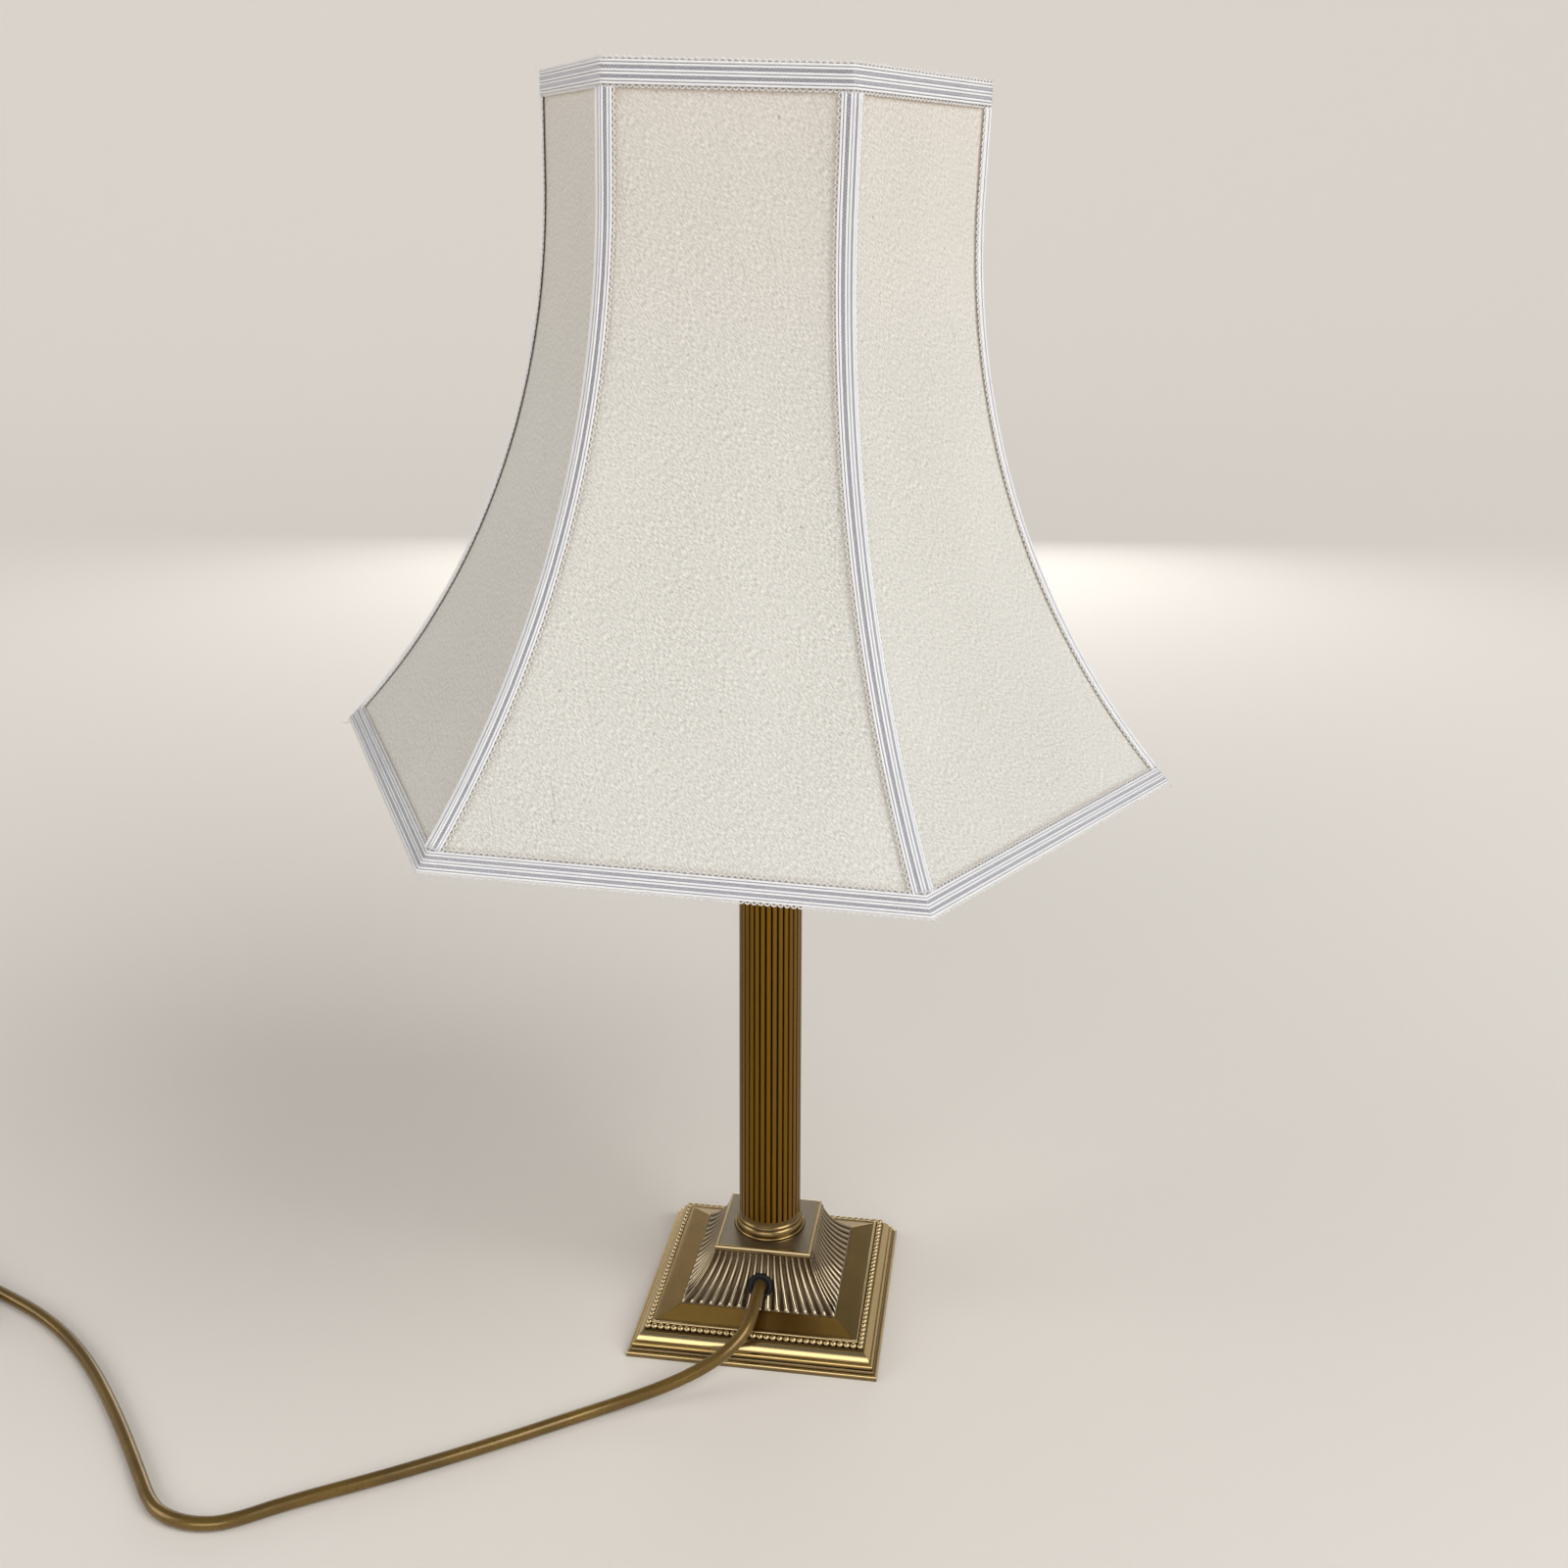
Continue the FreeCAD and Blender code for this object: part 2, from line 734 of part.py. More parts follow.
def bayonet_slots():
    """Two L-shaped slots: down from the rim, then round to where the pins rest."""
    reach = barrel_r + 2
    entry = Part.makeBox(reach, 2 * slot_half, barrel_top_z - pin_z + slot_half + 1,
                         V(0, -slot_half, pin_z - slot_half))
    floor = V(0, 0, pin_z - slot_half)
    sweep = Part.makeCylinder(reach, 2 * slot_half, floor, UP, slot_turn)
    rest = Part.makeBox(reach, 2 * slot_half, 2 * slot_half, V(0, -slot_half, pin_z - slot_half))
    slot = rest.fuse([sweep, entry.rotated(ORIGIN, UP, slot_turn)])
    return [slot, slot.rotated(ORIGIN, UP, 180)]


def lampholder_barrel():
    inner_r = holder_r - holder_wall
    shell = turned([
        (inner_r, cap_joint_z),
        (holder_r, cap_joint_z),
        (holder_r, shoulder_z),
        (barrel_r, shoulder_z),
        (barrel_r, barrel_top_z),
        (barrel_bore_r, barrel_top_z),
        (barrel_bore_r, shoulder_z - holder_wall),
        (inner_r, shoulder_z - holder_wall),
    ])
    for slot in bayonet_slots():
        shell = shell.cut(slot)
    return shell.cut(bar_along_x(bar_r + RUNNING, 2 * holder_r))


def lampholder_insert():
    """Moulded insert with the plungers' bores, the switch bar's way and the terminals."""
    radius = holder_r - holder_wall - insert_gap
    shoulder = shoulder_z - holder_wall - insert_gap
    body = rod_up(radius, cap_joint_z, shoulder).fuse(rod_up(insert_boss_r, shoulder, insert_top_z))
    cuts = [bar_along_x(bar_r + RUNNING, 2 * holder_r)]
    for side in (-1, 1):
        cuts.append(rod_up(plunger_r + RUNNING, plunger_floor_z, insert_top_z + 1,
                           side * plunger_at))
        cuts.append(rod_up(terminal_hole_r, cap_joint_z - 1, cap_joint_z + terminal_hole_h,
                           side * terminal_x, terminal_y))
    for cut in cuts:
        body = body.cut(cut)
    return body.Solids[0]


def terminal_screws():
    screws = []
    for side in (-1, 1):
        x = side * terminal_x
        head = rod_up(terminal_r, cap_joint_z - terminal_h, cap_joint_z, x, terminal_y)
        shank = rod_up(terminal_shank_r, cap_joint_z, cap_joint_z + terminal_shank_h, x, terminal_y)
        screws.append(head.fuse(shank))
    return Part.makeCompound([screw.Solids[0] for screw in screws])


def plunger(side):
    x = side * plunger_at
    step_z = insert_top_z - plunger_step
    body = rod_up(plunger_r, plunger_foot_z, step_z, x)
    return body.fuse(rod_up(plunger_nose_r, step_z, plunger_top_z, x)).Solids[0]


def plunger_spring(side):
    x = side * plunger_at
    outer_r = plunger_r - spring_in
    coil = rod_up(outer_r, plunger_floor_z, plunger_foot_z, x)
    return coil.cut(rod_up(outer_r - spring_t, plunger_floor_z - 1, plunger_foot_z + 1, x))


def switch_bar():
    """Push-through bar with a button at each end, drawn with its left button out."""
    start = -bar_half - bar_travel / 2
    bar = Part.makeCylinder(bar_r, 2 * bar_half, V(start, bar_y, bar_z), V(1, 0, 0))
    for end in (start - button_len, start + 2 * bar_half):
        bar = bar.fuse(Part.makeCylinder(button_r, button_len, V(end, bar_y, bar_z), V(1, 0, 0)))
    return bar.Solids[0]


save("lampholder_cap", lampholder_cap())
save("lampholder_barrel", lampholder_barrel())
save("lampholder_insert", lampholder_insert())
save("terminal_screws", terminal_screws())
save("earth_terminal", rod_up(earth_r, cap_joint_z - terminal_h, cap_joint_z, 0, earth_y))
save("contact_plunger_left", plunger(-1))
save("contact_plunger_right", plunger(1))
save("plunger_spring_left", plunger_spring(-1))
save("plunger_spring_right", plunger_spring(1))
save("switch_bar", switch_bar())


# ================================================================ bulb
def bulb_cap():
    return turned([
        (0, bulb_foot_z),
        (bulb_cap_r - 1, bulb_foot_z),
        (bulb_cap_r, bulb_foot_z + 1),
        (bulb_cap_r, bulb_cap_top_z - 2),
        (bulb_neck_r, bulb_cap_top_z),
        (0, bulb_cap_top_z),
    ])


def bulb_pins():
    pins = []
    for side in (-1, 1):
        pins.append(Part.makeCylinder(pin_r, pin_reach - bulb_cap_r,
                                      V(side * bulb_cap_r, 0, pin_z), V(side, 0, 0)))
    cap = rod_up(bulb_cap_r, bulb_foot_z, bulb_cap_top_z)
    return Part.makeCompound([pin.cut(cap) for pin in pins])


def bulb_contacts():
    pads = [rod_up(contact_r, bulb_foot_z - contact_t, bulb_foot_z, side * plunger_at)
            for side in (-1, 1)]
    return Part.makeCompound(pads)


def bulb_glass():
    """Pear-shaped envelope, its ball drawn as bands of a few degrees."""
    band = (bulb_crown - bulb_touch) / bulb_bands
    angles = [math.radians(bulb_touch + band * i) for i in range(bulb_bands + 1)]
    ball = [(bulb_r * math.cos(a), bulb_centre_z + bulb_r * math.sin(a)) for a in angles]
    top = (0, ball[-1][1])
    return turned([(0, bulb_cap_top_z), (bulb_neck_r, bulb_cap_top_z)] + ball + [top])


save("bulb_cap", bulb_cap())
save("bulb_pins", bulb_pins())
save("bulb_contacts", bulb_contacts())
save("bulb_glass", bulb_glass())


# ================================================================ shade frame of reference
def lean(shape):
    """Moves a piece from the shade's upright frame to where the leaning shade holds it."""
    turn_y = FreeCAD.Rotation(V(0, 1, 0), lean_about_y)
    turn_x = FreeCAD.Rotation(V(1, 0, 0), lean_about_x)
    pivot = V(0, 0, lean_pivot_z)
    shift = V(shade_shift_x, shade_shift_y, 0)
    place = FreeCAD.Placement(shift, turn_y.multiply(turn_x), pivot)
    moved = shape.copy()
    moved.Placement = place.multiply(moved.Placement)
    return moved


# ================================================================ shade carrier
def shade_ring_nut():
    bottom = shoulder_z + seat_t
    nut = tube_up(ring_nut_r, barrel_r + RUNNING, bottom, bottom + ring_nut_t)
    notch = rod_up(ring_nut_notch_r, bottom - 1, bottom + ring_nut_t + 1, ring_nut_r + 0.8)
    return nut.cut(turned_copies(notch, ring_nut_notches)).Solids[0]


def rectangle(width_x, width_y, centre):
    x, y = width_x / 2, width_y / 2
    corners = [(-x, -y), (x, -y), (x, y), (-x, y), (-x, -y)]
    return Part.makePolygon([centre + V(a, b, 0) for a, b in corners])


def carrier_arm(angle):
    """A strip out from the seat, then up to the underside of the leaning ring."""
    foot = Part.makeBox(arm_r + arm_t / 2, arm_w, seat_t, V(0, -arm_w / 2, shoulder_z))
    foot = foot.cut(rod_up(seat_r, shoulder_z - 1, shoulder_z + seat_t + 1))
    foot = foot.rotated(ORIGIN, UP, angle)
    bottom = rectangle(arm_t, arm_w, V(arm_r, 0, shoulder_z)).rotated(ORIGIN, UP, angle)
    under_ring = carrier_ring_z - carrier_ring_t
    top = lean(rectangle(arm_t, arm_w, V(arm_r, 0, under_ring)).rotated(ORIGIN, UP, angle))
    upright = Part.makeLoft([bottom, top], True, True)
    return foot.fuse(upright).removeSplitter().Solids[0]


def carrier_arm_set():
    return [carrier_arm(90.0 + 360.0 * i / carrier_arms) for i in range(carrier_arms)]


save("shade_ring_nut", shade_ring_nut())
save("carrier_seat", tube_up(seat_r, seat_inner_r, shoulder_z, shoulder_z + seat_t))
for i, arm in enumerate(carrier_arm_set()):
    save("carrier_arm_" + str(i + 1), arm)
save("carrier_ring", lean(tube_up(carrier_ring_r, carrier_ring_inner_r,
                                  carrier_ring_z - carrier_ring_t, carrier_ring_z)))

# ================================================================ shade
bow_centre = (shade_top_half + bow_r, bow_start_z)


def on_bow(offset, z):
    """Half across the sides at a height, on the bowed line moved in by offset."""
    if z >= bow_start_z:
        return shade_top_half - offset
    return bow_centre[0] - math.sqrt((bow_r + offset) ** 2 - (z - bow_start_z) ** 2)


def skin_steps(offset, first, last):
    """Outline steps along the bowed line from one height to another."""
    def at(z):
        return on_bow(offset, z), z

    low, high = min(first, last), max(first, last)
    if low >= bow_start_z:
        return [at(last)]
    knee = min(high, bow_start_z)
    bow = (*at((low + knee) / 2), *at(knee if first < last else last))
    if high <= bow_start_z:
        return [bow]
    return [bow, at(last)] if first < last else [at(knee), bow]


def bowed_strip(outer, inner, bottom, top):
    """Section of a skin between two offsets from the fabric's outer face."""
    start = (on_bow(outer, bottom), bottom)
    turn = (on_bow(inner, top), top)
    return [start] + skin_steps(outer, bottom, top) + [turn] + skin_steps(inner, top, bottom)


shade_reach = on_bow(0, shade_bottom_z) + shade_margin
shade_span = (shade_bottom_z - shade_margin, shade_top_z + shade_margin)


def shade_side(outer, inner, bottom, top):
    strip = bowed_strip(outer, inner, bottom, top)
    return one_side(strip, shade_sides, shade_reach, *shade_span)


def panels():
    """Six fabric panels, the first facing +X +Y at 30 degrees."""
    panel = shade_side(0.0, panel_t, shade_bottom_z, shade_top_z)
    return [lean(copy.Solids[0]) for copy in turned_copies(panel, shade_sides, 30)]


def lining():
    outer = panel_t + lining_gap
    side = shade_side(outer, outer + lining_t, shade_bottom_z + lining_up,
                      shade_top_z - lining_down)
    return lean(joined(turned_copies(side, shade_sides, 30)))


def hexagon_wire(offset, z):
    """Wire bent to the shade's hexagon and lying inside the fabric."""
    half = on_bow(offset, z)
    ring = facet_ring(wire_r, V(half, -shade_reach, z), V(0, 1, 0), wire_sides, UP)
    bar = Part.Face(ring).extrude(V(0, 2 * shade_reach, 0))
    side = bar.common(wedge(shade_sides, shade_reach, *shade_span))
    return turned_copies(side, shade_sides, 30)


def frame_strut():
    """Flat strut in one corner of the frame, between the top and bottom wires."""
    corner = 1 / math.cos(math.pi / shade_sides)
    low, high = shade_bottom_z + wire_drop, shade_top_z - wire_drop
    outer, inner = panel_t + strut_gap, panel_t + strut_gap + strut_t
    steps = []
    for step in bowed_strip(outer, inner, low, high):
        scaled = [value * corner if k % 2 == 0 else value for k, value in enumerate(step)]
        steps.append(tuple(scaled))
    face = Part.Face(outline(steps, lambda a, z: V(a, -strut_t / 2, z)))
    return face.extrude(V(0, strut_t, 0))


def shade_frame():
    """Two hexagons of wire and six struts, closed in by the fabric and the lining."""
    wire_in = panel_t + frame_gap + wire_r
    parts = hexagon_wire(wire_in, shade_top_z - wire_drop)
    parts += hexagon_wire(wire_in, shade_bottom_z + wire_drop)
    parts += turned_copies(frame_strut(), shade_sides)
    return lean(joined(parts))


def spider_arm():
    """Arm from the top wire, in over the lining's edge and down to the ring."""
    wire_half = on_bow(panel_t + frame_gap + 2 * wire_r, shade_top_z)
    top = shade_top_z - wire_drop + spider_arm_t / 2
    ring_top = carrier_ring_z + SEAT_GAP + spider_ring_t
    half_t = spider_arm_t / 2
    steps = [
        (wire_half, top),
        (wire_half, top - spider_arm_t),
        (spider_drop_r + half_t, top - spider_arm_t),
        (spider_ring_r - spider_arm_over, ring_top - spider_ring_t),
        (spider_ring_r - spider_arm_over - spider_arm_t, ring_top),
        (spider_drop_r - half_t, top),
    ]
    face = Part.Face(outline(steps, lambda a, z: V(a, -spider_arm_w / 2, z)))
    return face.extrude(V(0, spider_arm_w, 0))


def shade_spider():
    """Three arms on the ring by which the shade sits on its carrier."""
    seat = carrier_ring_z + SEAT_GAP
    ring = tube_up(spider_ring_r, spider_ring_inner_r, seat, seat + spider_ring_t)
    return lean(joined([ring] + turned_copies(spider_arm(), 3, 30)))


def edge_braid(bottom, top):
    side = shade_side(-braid_t, -braid_seat, bottom, top)
    return lean(joined(turned_copies(side, shade_sides, 30)))


def strut_braids():
    """Braid folded over each corner, from the bottom braid to the top one."""
    strip = bowed_strip(-strut_braid_t, -braid_seat, shade_bottom_z + bottom_braid_w,
                        shade_top_z - braid_w)
    side = one_side(strip, shade_sides, shade_reach, *shade_span)
    middle = wedge(shade_sides, shade_reach * 1.5, *shade_span, strut_braid_half)
    edges = side.cut(middle).Solids
    right = max(edges, key=lambda solid: solid.CenterOfMass.y)
    left = min(edges, key=lambda solid: solid.CenterOfMass.y)
    fold = joined([right, left.rotated(ORIGIN, UP, 360.0 / shade_sides)])
    return lean(Part.makeCompound(turned_copies(fold, shade_sides, 30)))


for i, panel in enumerate(panels()):
    save("shade_panel_" + str(i + 1), panel)
save("shade_lining", lining())
save("shade_frame", shade_frame())
save("shade_spider", shade_spider())
save("top_braid", edge_braid(shade_top_z - braid_w, shade_top_z))
save("bottom_braid", edge_braid(shade_bottom_z, shade_bottom_z + bottom_braid_w))
save("strut_braids", strut_braids())


# ================================================================ gland, clamp and cores
def cord_gland():
    """Black bush: a round flange on the pyramid's side and a barrel along the cord."""
    flange = Part.makeCylinder(gland_flange_r, gland_flange_t, gland_centre, gland_normal)
    rim = [edge for edge in flange.Edges
           if (edge.CenterOfMass - gland_centre).dot(gland_normal) > gland_flange_t / 2]
    flange = flange.makeChamfer(gland_chamfer, rim)
    barrel = along_cord(gland_barrel_r, -gland_reach, gland_barrel_out)
    bore = along_cord(gland_bore_r, -2 * gland_reach, foot_half)
    return flange.fuse(barrel).cut(bore).Solids[0]


tail_end = cord_exit - cord_out * tail_len


def cord_tail():
    """The sheathed end inside the base, up to the clamp."""
    return Part.makeCylinder(cord_r, tail_len, tail_end, cord_out)


def cord_clamp():
    """Grip block that stands on the weight and holds the cord's sheath."""
    near = tail_end.y - clamp_back
    top = tail_end.z + cord_r + clamp_t
    block = Part.makeBox(clamp_w, clamp_len, top - ledge_z,
                         V(-clamp_w / 2, near - clamp_len, ledge_z))
    return block.cut(along_cord(cord_r + clamp_gap, -3 * tail_len, tail_len))


def core(offset, end_x, end_y, end_z):
    """One insulated core from the sheath's end, up the rod and out to its terminal."""
    shift = V(offset, 0, 0)
    start = tail_end + shift
    bend = -tail_end.y * core_bend_share
    points = [
        start,
        start - cord_out * (-tail_end.y - bend),
        V(offset, 0, rod_bottom_z - core_under_rod),
        V(offset, 0, rod_top_z + core_over_rod),
        V(end_x, end_y, rod_top_z + core_parting),
        V(end_x, end_y, end_z),
    ]
    return tube_along(points, core_r, core_sides, V(1, 0, 0))[0]


terminal_foot = cap_joint_z - terminal_h
save("cord_gland", cord_gland())
save("cord_tail", cord_tail())
save("cord_clamp", cord_clamp())
save("core_live", core(core_step, terminal_x, terminal_y, terminal_foot))
save("core_neutral", core(-core_step, -terminal_x, terminal_y, terminal_foot))
save("core_earth", core(0.0, 0.0, earth_y, terminal_foot))


# ================================================================ cord on the table
def coil_line(t):
    """Point and direction of the coil's centre line after t turns."""
    half = coil_turns / 2
    inner_r = coil_mean_r - coil_pitch * coil_turns / 4
    r = inner_r + coil_pitch * abs(t - half)
    dr = 0.0 if abs(t - half) < 1e-9 else math.copysign(coil_pitch, t - half)
    climb = min(max((t - half + 0.25) / 0.5, 0.0), 1.0)
    z = coil_z + coil_pitch * climb**2 * (3 - 2 * climb)
    dz = coil_pitch * 6 * climb * (1 - climb) / 0.5
    angle = math.radians(coil_start) + 2 * math.pi * t
    outward = V(math.cos(angle), math.sin(angle), 0)
    forward = V(-math.sin(angle), math.cos(angle), 0)
    direction = outward * dr + forward * (2 * math.pi * r) + V(0, 0, dz)
    direction.normalize()
    return V(coil_x, coil_y, z) + outward * r, direction


def biarc(p0, t0, p1, t1):
    """Two arcs that join p0 to p1 and keep both directions."""
    chord = p1 - p0
    both = t0 + t1
    a = 2 * (1 - t0.dot(t1))
    b = chord.dot(both)
    c = chord.dot(chord)
    d = (math.sqrt(b * b + a * c) - b) / a if a > 1e-9 else c / (4 * chord.dot(t1))
    join = (p0 + p1 + (t0 - t1) * d) * 0.5
    arcs = []
    for start, direction, end in ((p0, t0, join), (join, None, p1)):
        if direction is None:
            direction = join - (p0 + t0 * d)
            direction.normalize()
        span = end - start
        bisector = span * (1 / span.Length) + direction
        bisector.normalize()
        half_turn = bisector.getAngle(direction)
        middle = start + bisector * (span.Length / 2 / math.cos(half_turn))
        arcs.append(Part.Arc(start, middle, end).toShape())
    return arcs


def coil_path():
    """The cord's run-in, its turns on biarcs of a quarter turn and the plug's tail."""
    steps = math.ceil(coil_turns * 4)
    stations = [coil_line(coil_turns * i / steps) for i in range(steps + 1)]
    first, first_way = stations[0]
    last, last_way = stations[-1]
    start = first - first_way * cord_d
    end = last + last_way * coil_tail
    edges = [Part.LineSegment(start, first).toShape()]
    for (p0, t0), (p1, t1) in zip(stations, stations[1:]):
        edges += biarc(p0, t0, p1, t1)
    edges.append(Part.LineSegment(last, end).toShape())
    return Part.Wire(edges), start, first_way, end, last_way


def least_gap():
    """Least distance between two parts of the coil more than half a turn apart."""
    count = int(coil_turns * 72)
    points = [coil_line(coil_turns * i / count)[0] for i in range(count + 1)]
    least = 1e9
    for i, p in enumerate(points):
        for q in points[i + 36:]:
            least = min(least, p.distanceToPoint(q))
    return least - cord_d


def coil_tie(angle):
    """Band round the whole bundle of turns at one place."""
    inner_r = coil_mean_r - coil_pitch * coil_turns / 4
    outer_r = coil_mean_r + coil_pitch * coil_turns / 4
    low_r, high_r = inner_r - cord_r - tie_slack, outer_r + cord_r + tie_slack
    low_z, high_z = coil_z - cord_r - tie_slack / 4, coil_z + coil_pitch + cord_r + tie_slack
    outside = Part.makeBox(high_r - low_r + 2 * tie_t, tie_w, high_z - low_z + 2 * tie_t,
                           V(low_r - tie_t, -tie_w / 2, low_z - tie_t))
    inside = Part.makeBox(high_r - low_r, 2 * tie_w, high_z - low_z, V(low_r, -tie_w, low_z))
    band = outside.cut(inside).rotated(ORIGIN, UP, angle)
    band.translate(V(coil_x, coil_y, 0))
    return band


coil_wire, coil_from, coil_from_way, coil_to, coil_to_way = coil_path()
run_points = [cord_exit] + [V(*point) for point in cord_route] + [coil_from]
run_solid, run_length, run_radii = tube_along(run_points, cord_r, cord_sides, V(1, 0, 0))
coil_ring = facet_ring(cord_r, coil_from, coil_from_way, cord_sides, coil_from_way.cross(UP))
coil_solid = coil_wire.makePipeShell([coil_ring], True, False)
print("cord radii", [round(radius, 1) for radius in run_radii])
print("cord run", round(run_length, 1), "coil", round(coil_wire.Length, 1),
      "total", round(run_length + coil_wire.Length, 1))
print("coil least gap", round(least_gap(), 2))
save("cord_run", run_solid)
save("cord_coil", coil_solid)
save("coil_ties", Part.makeCompound([coil_tie(angle) for angle in tie_angles]))


# ================================================================ plug
def on_plug(shape):
    """Moves a piece from the plug's own frame, cord entry at the origin and +X ahead."""
    heading = math.degrees(math.atan2(coil_to_way.y, coil_to_way.x))
    place = FreeCAD.Placement(V(coil_to.x, coil_to.y, 0), FreeCAD.Rotation(UP, heading))
    moved = shape.copy()
    moved.Placement = place.multiply(moved.Placement)
    return moved


def plug_body():
    """Moulded body lying on its back, with a tapered relief round the cord."""
    entry_z = coil_to.z
    relief = Part.makeCone(relief_r_tip, relief_r_foot, relief_len, V(0, 0, entry_z), V(1, 0, 0))
    neck, wide, far = relief_len, relief_len + plug_shoulder, relief_len + plug_len
    corners = [
        V(neck, -plug_neck_w / 2, 0),
        V(wide, -plug_w / 2, 0),
        V(far - plug_corner, -plug_w / 2, 0),
        V(far, -plug_w / 2 + plug_corner, 0),
        V(far, plug_w / 2 - plug_corner, 0),
        V(far - plug_corner, plug_w / 2, 0),
        V(wide, plug_w / 2, 0),
        V(neck, plug_neck_w / 2, 0),
        V(neck, -plug_neck_w / 2, 0),
    ]
    body = Part.Face(Part.makePolygon(corners)).extrude(V(0, 0, plug_h))
    back_edges = [edge for edge in body.Edges if edge.CenterOfMass.z < 0.01]
    body = body.makeChamfer(plug_round, back_edges)
    length, width, depth = fuse_cover
    pocket = Part.makeBox(width, length, depth + 1,
                          V(relief_len + fuse_cover_at, -length / 2, plug_h - depth))
    return on_plug(body.fuse(relief).cut(pocket).Solids[0])


def plug_fuse_cover():
    length, width, depth = fuse_cover
    lid = Part.makeBox(width - 2 * FIXED, length - 2 * FIXED, depth,
                       V(relief_len + fuse_cover_at + FIXED, -length / 2 + FIXED,
                         plug_h - depth))
    return on_plug(lid)


def plug_pins():
    pins = []
    line_x = relief_len + line_pins_at
    for side in (-1, 1):
        thick, width = line_pin
        pins.append(Part.makeBox(width, thick, pin_rise,
                                 V(line_x - width / 2, side * line_pin_apart / 2 - thick / 2,
                                   plug_h)))
    thick, width = earth_pin
    pins.append(Part.makeBox(width, thick, earth_pin_rise,
                             V(line_x + earth_pin_ahead - width / 2, -thick / 2, plug_h)))
    return on_plug(Part.makeCompound(pins))


save("plug_body", plug_body())
save("plug_fuse_cover", plug_fuse_cover())
save("plug_pins", plug_pins())
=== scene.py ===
from math import atan2, ceil, copysign, cos, hypot, pi, radians, sin, tan, tau

import bmesh
import bpy
import numpy as np
from mathutils import Matrix, Vector


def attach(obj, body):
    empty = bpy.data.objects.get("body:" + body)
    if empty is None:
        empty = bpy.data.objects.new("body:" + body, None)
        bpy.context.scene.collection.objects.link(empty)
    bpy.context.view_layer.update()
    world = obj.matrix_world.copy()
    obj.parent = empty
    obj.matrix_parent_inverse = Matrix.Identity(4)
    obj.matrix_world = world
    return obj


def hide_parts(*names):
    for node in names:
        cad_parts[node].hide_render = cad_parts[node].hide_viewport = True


# Column table lamp. All shapes are worked out in millimetres in the frame of the
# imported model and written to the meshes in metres.

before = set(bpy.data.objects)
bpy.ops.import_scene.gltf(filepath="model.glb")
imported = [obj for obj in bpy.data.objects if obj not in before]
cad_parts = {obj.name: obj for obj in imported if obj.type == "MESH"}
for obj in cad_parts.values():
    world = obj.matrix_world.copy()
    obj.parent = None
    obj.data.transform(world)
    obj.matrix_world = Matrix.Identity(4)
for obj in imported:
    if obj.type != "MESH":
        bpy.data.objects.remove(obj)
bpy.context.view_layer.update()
MM = 0.001

# ---------------------------------------------------------------- sizes shared with the CAD
foot_half = 65.0
pyramid_half, pyramid_z = 40.6, 18.0
neck_half, neck_z = 24.9, 41.6
waist_sag = 2.2
platform_half, platform_z = 25.3, 44.4
roof_z = 40.4
reeds_per_side = 16
beads_per_side = 32
bead_r = 1.74
bead_half, bead_z = 55.5, 13.1

reed_start_z = 54.5
column_top_z = 335.0
column_r_foot, column_r_top = 16.45, 15.55
column_reeds = 32
column_bore_r = 12.6
groove_depth = 0.75
groove_share = 0.2
rod_hole_r = 5.1

shade_top_z, shade_bottom_z = 615.0, 310.4
shade_top_half = 84.2
bow_start_z, bow_r = 570.0, 410.0
braid_w = 10.6
bottom_braid_w = braid_w * 0.72
lean_about_x, lean_about_y = 1.67, 1.77
lean_pivot_z = 609.8
shade_shift = (-4.26, -2.86, 0.0)

cord_r = 3.25
gland_z = 26.7
gland_flange_r = 6.65
exit_rise = 9.4
exit_reach = 3.0


# ================================================================ nodes
# sockets of the Mix node that work on colours
MIX_FACTOR, MIX_A, MIX_B, MIX_RESULT = 0, 6, 7, 2


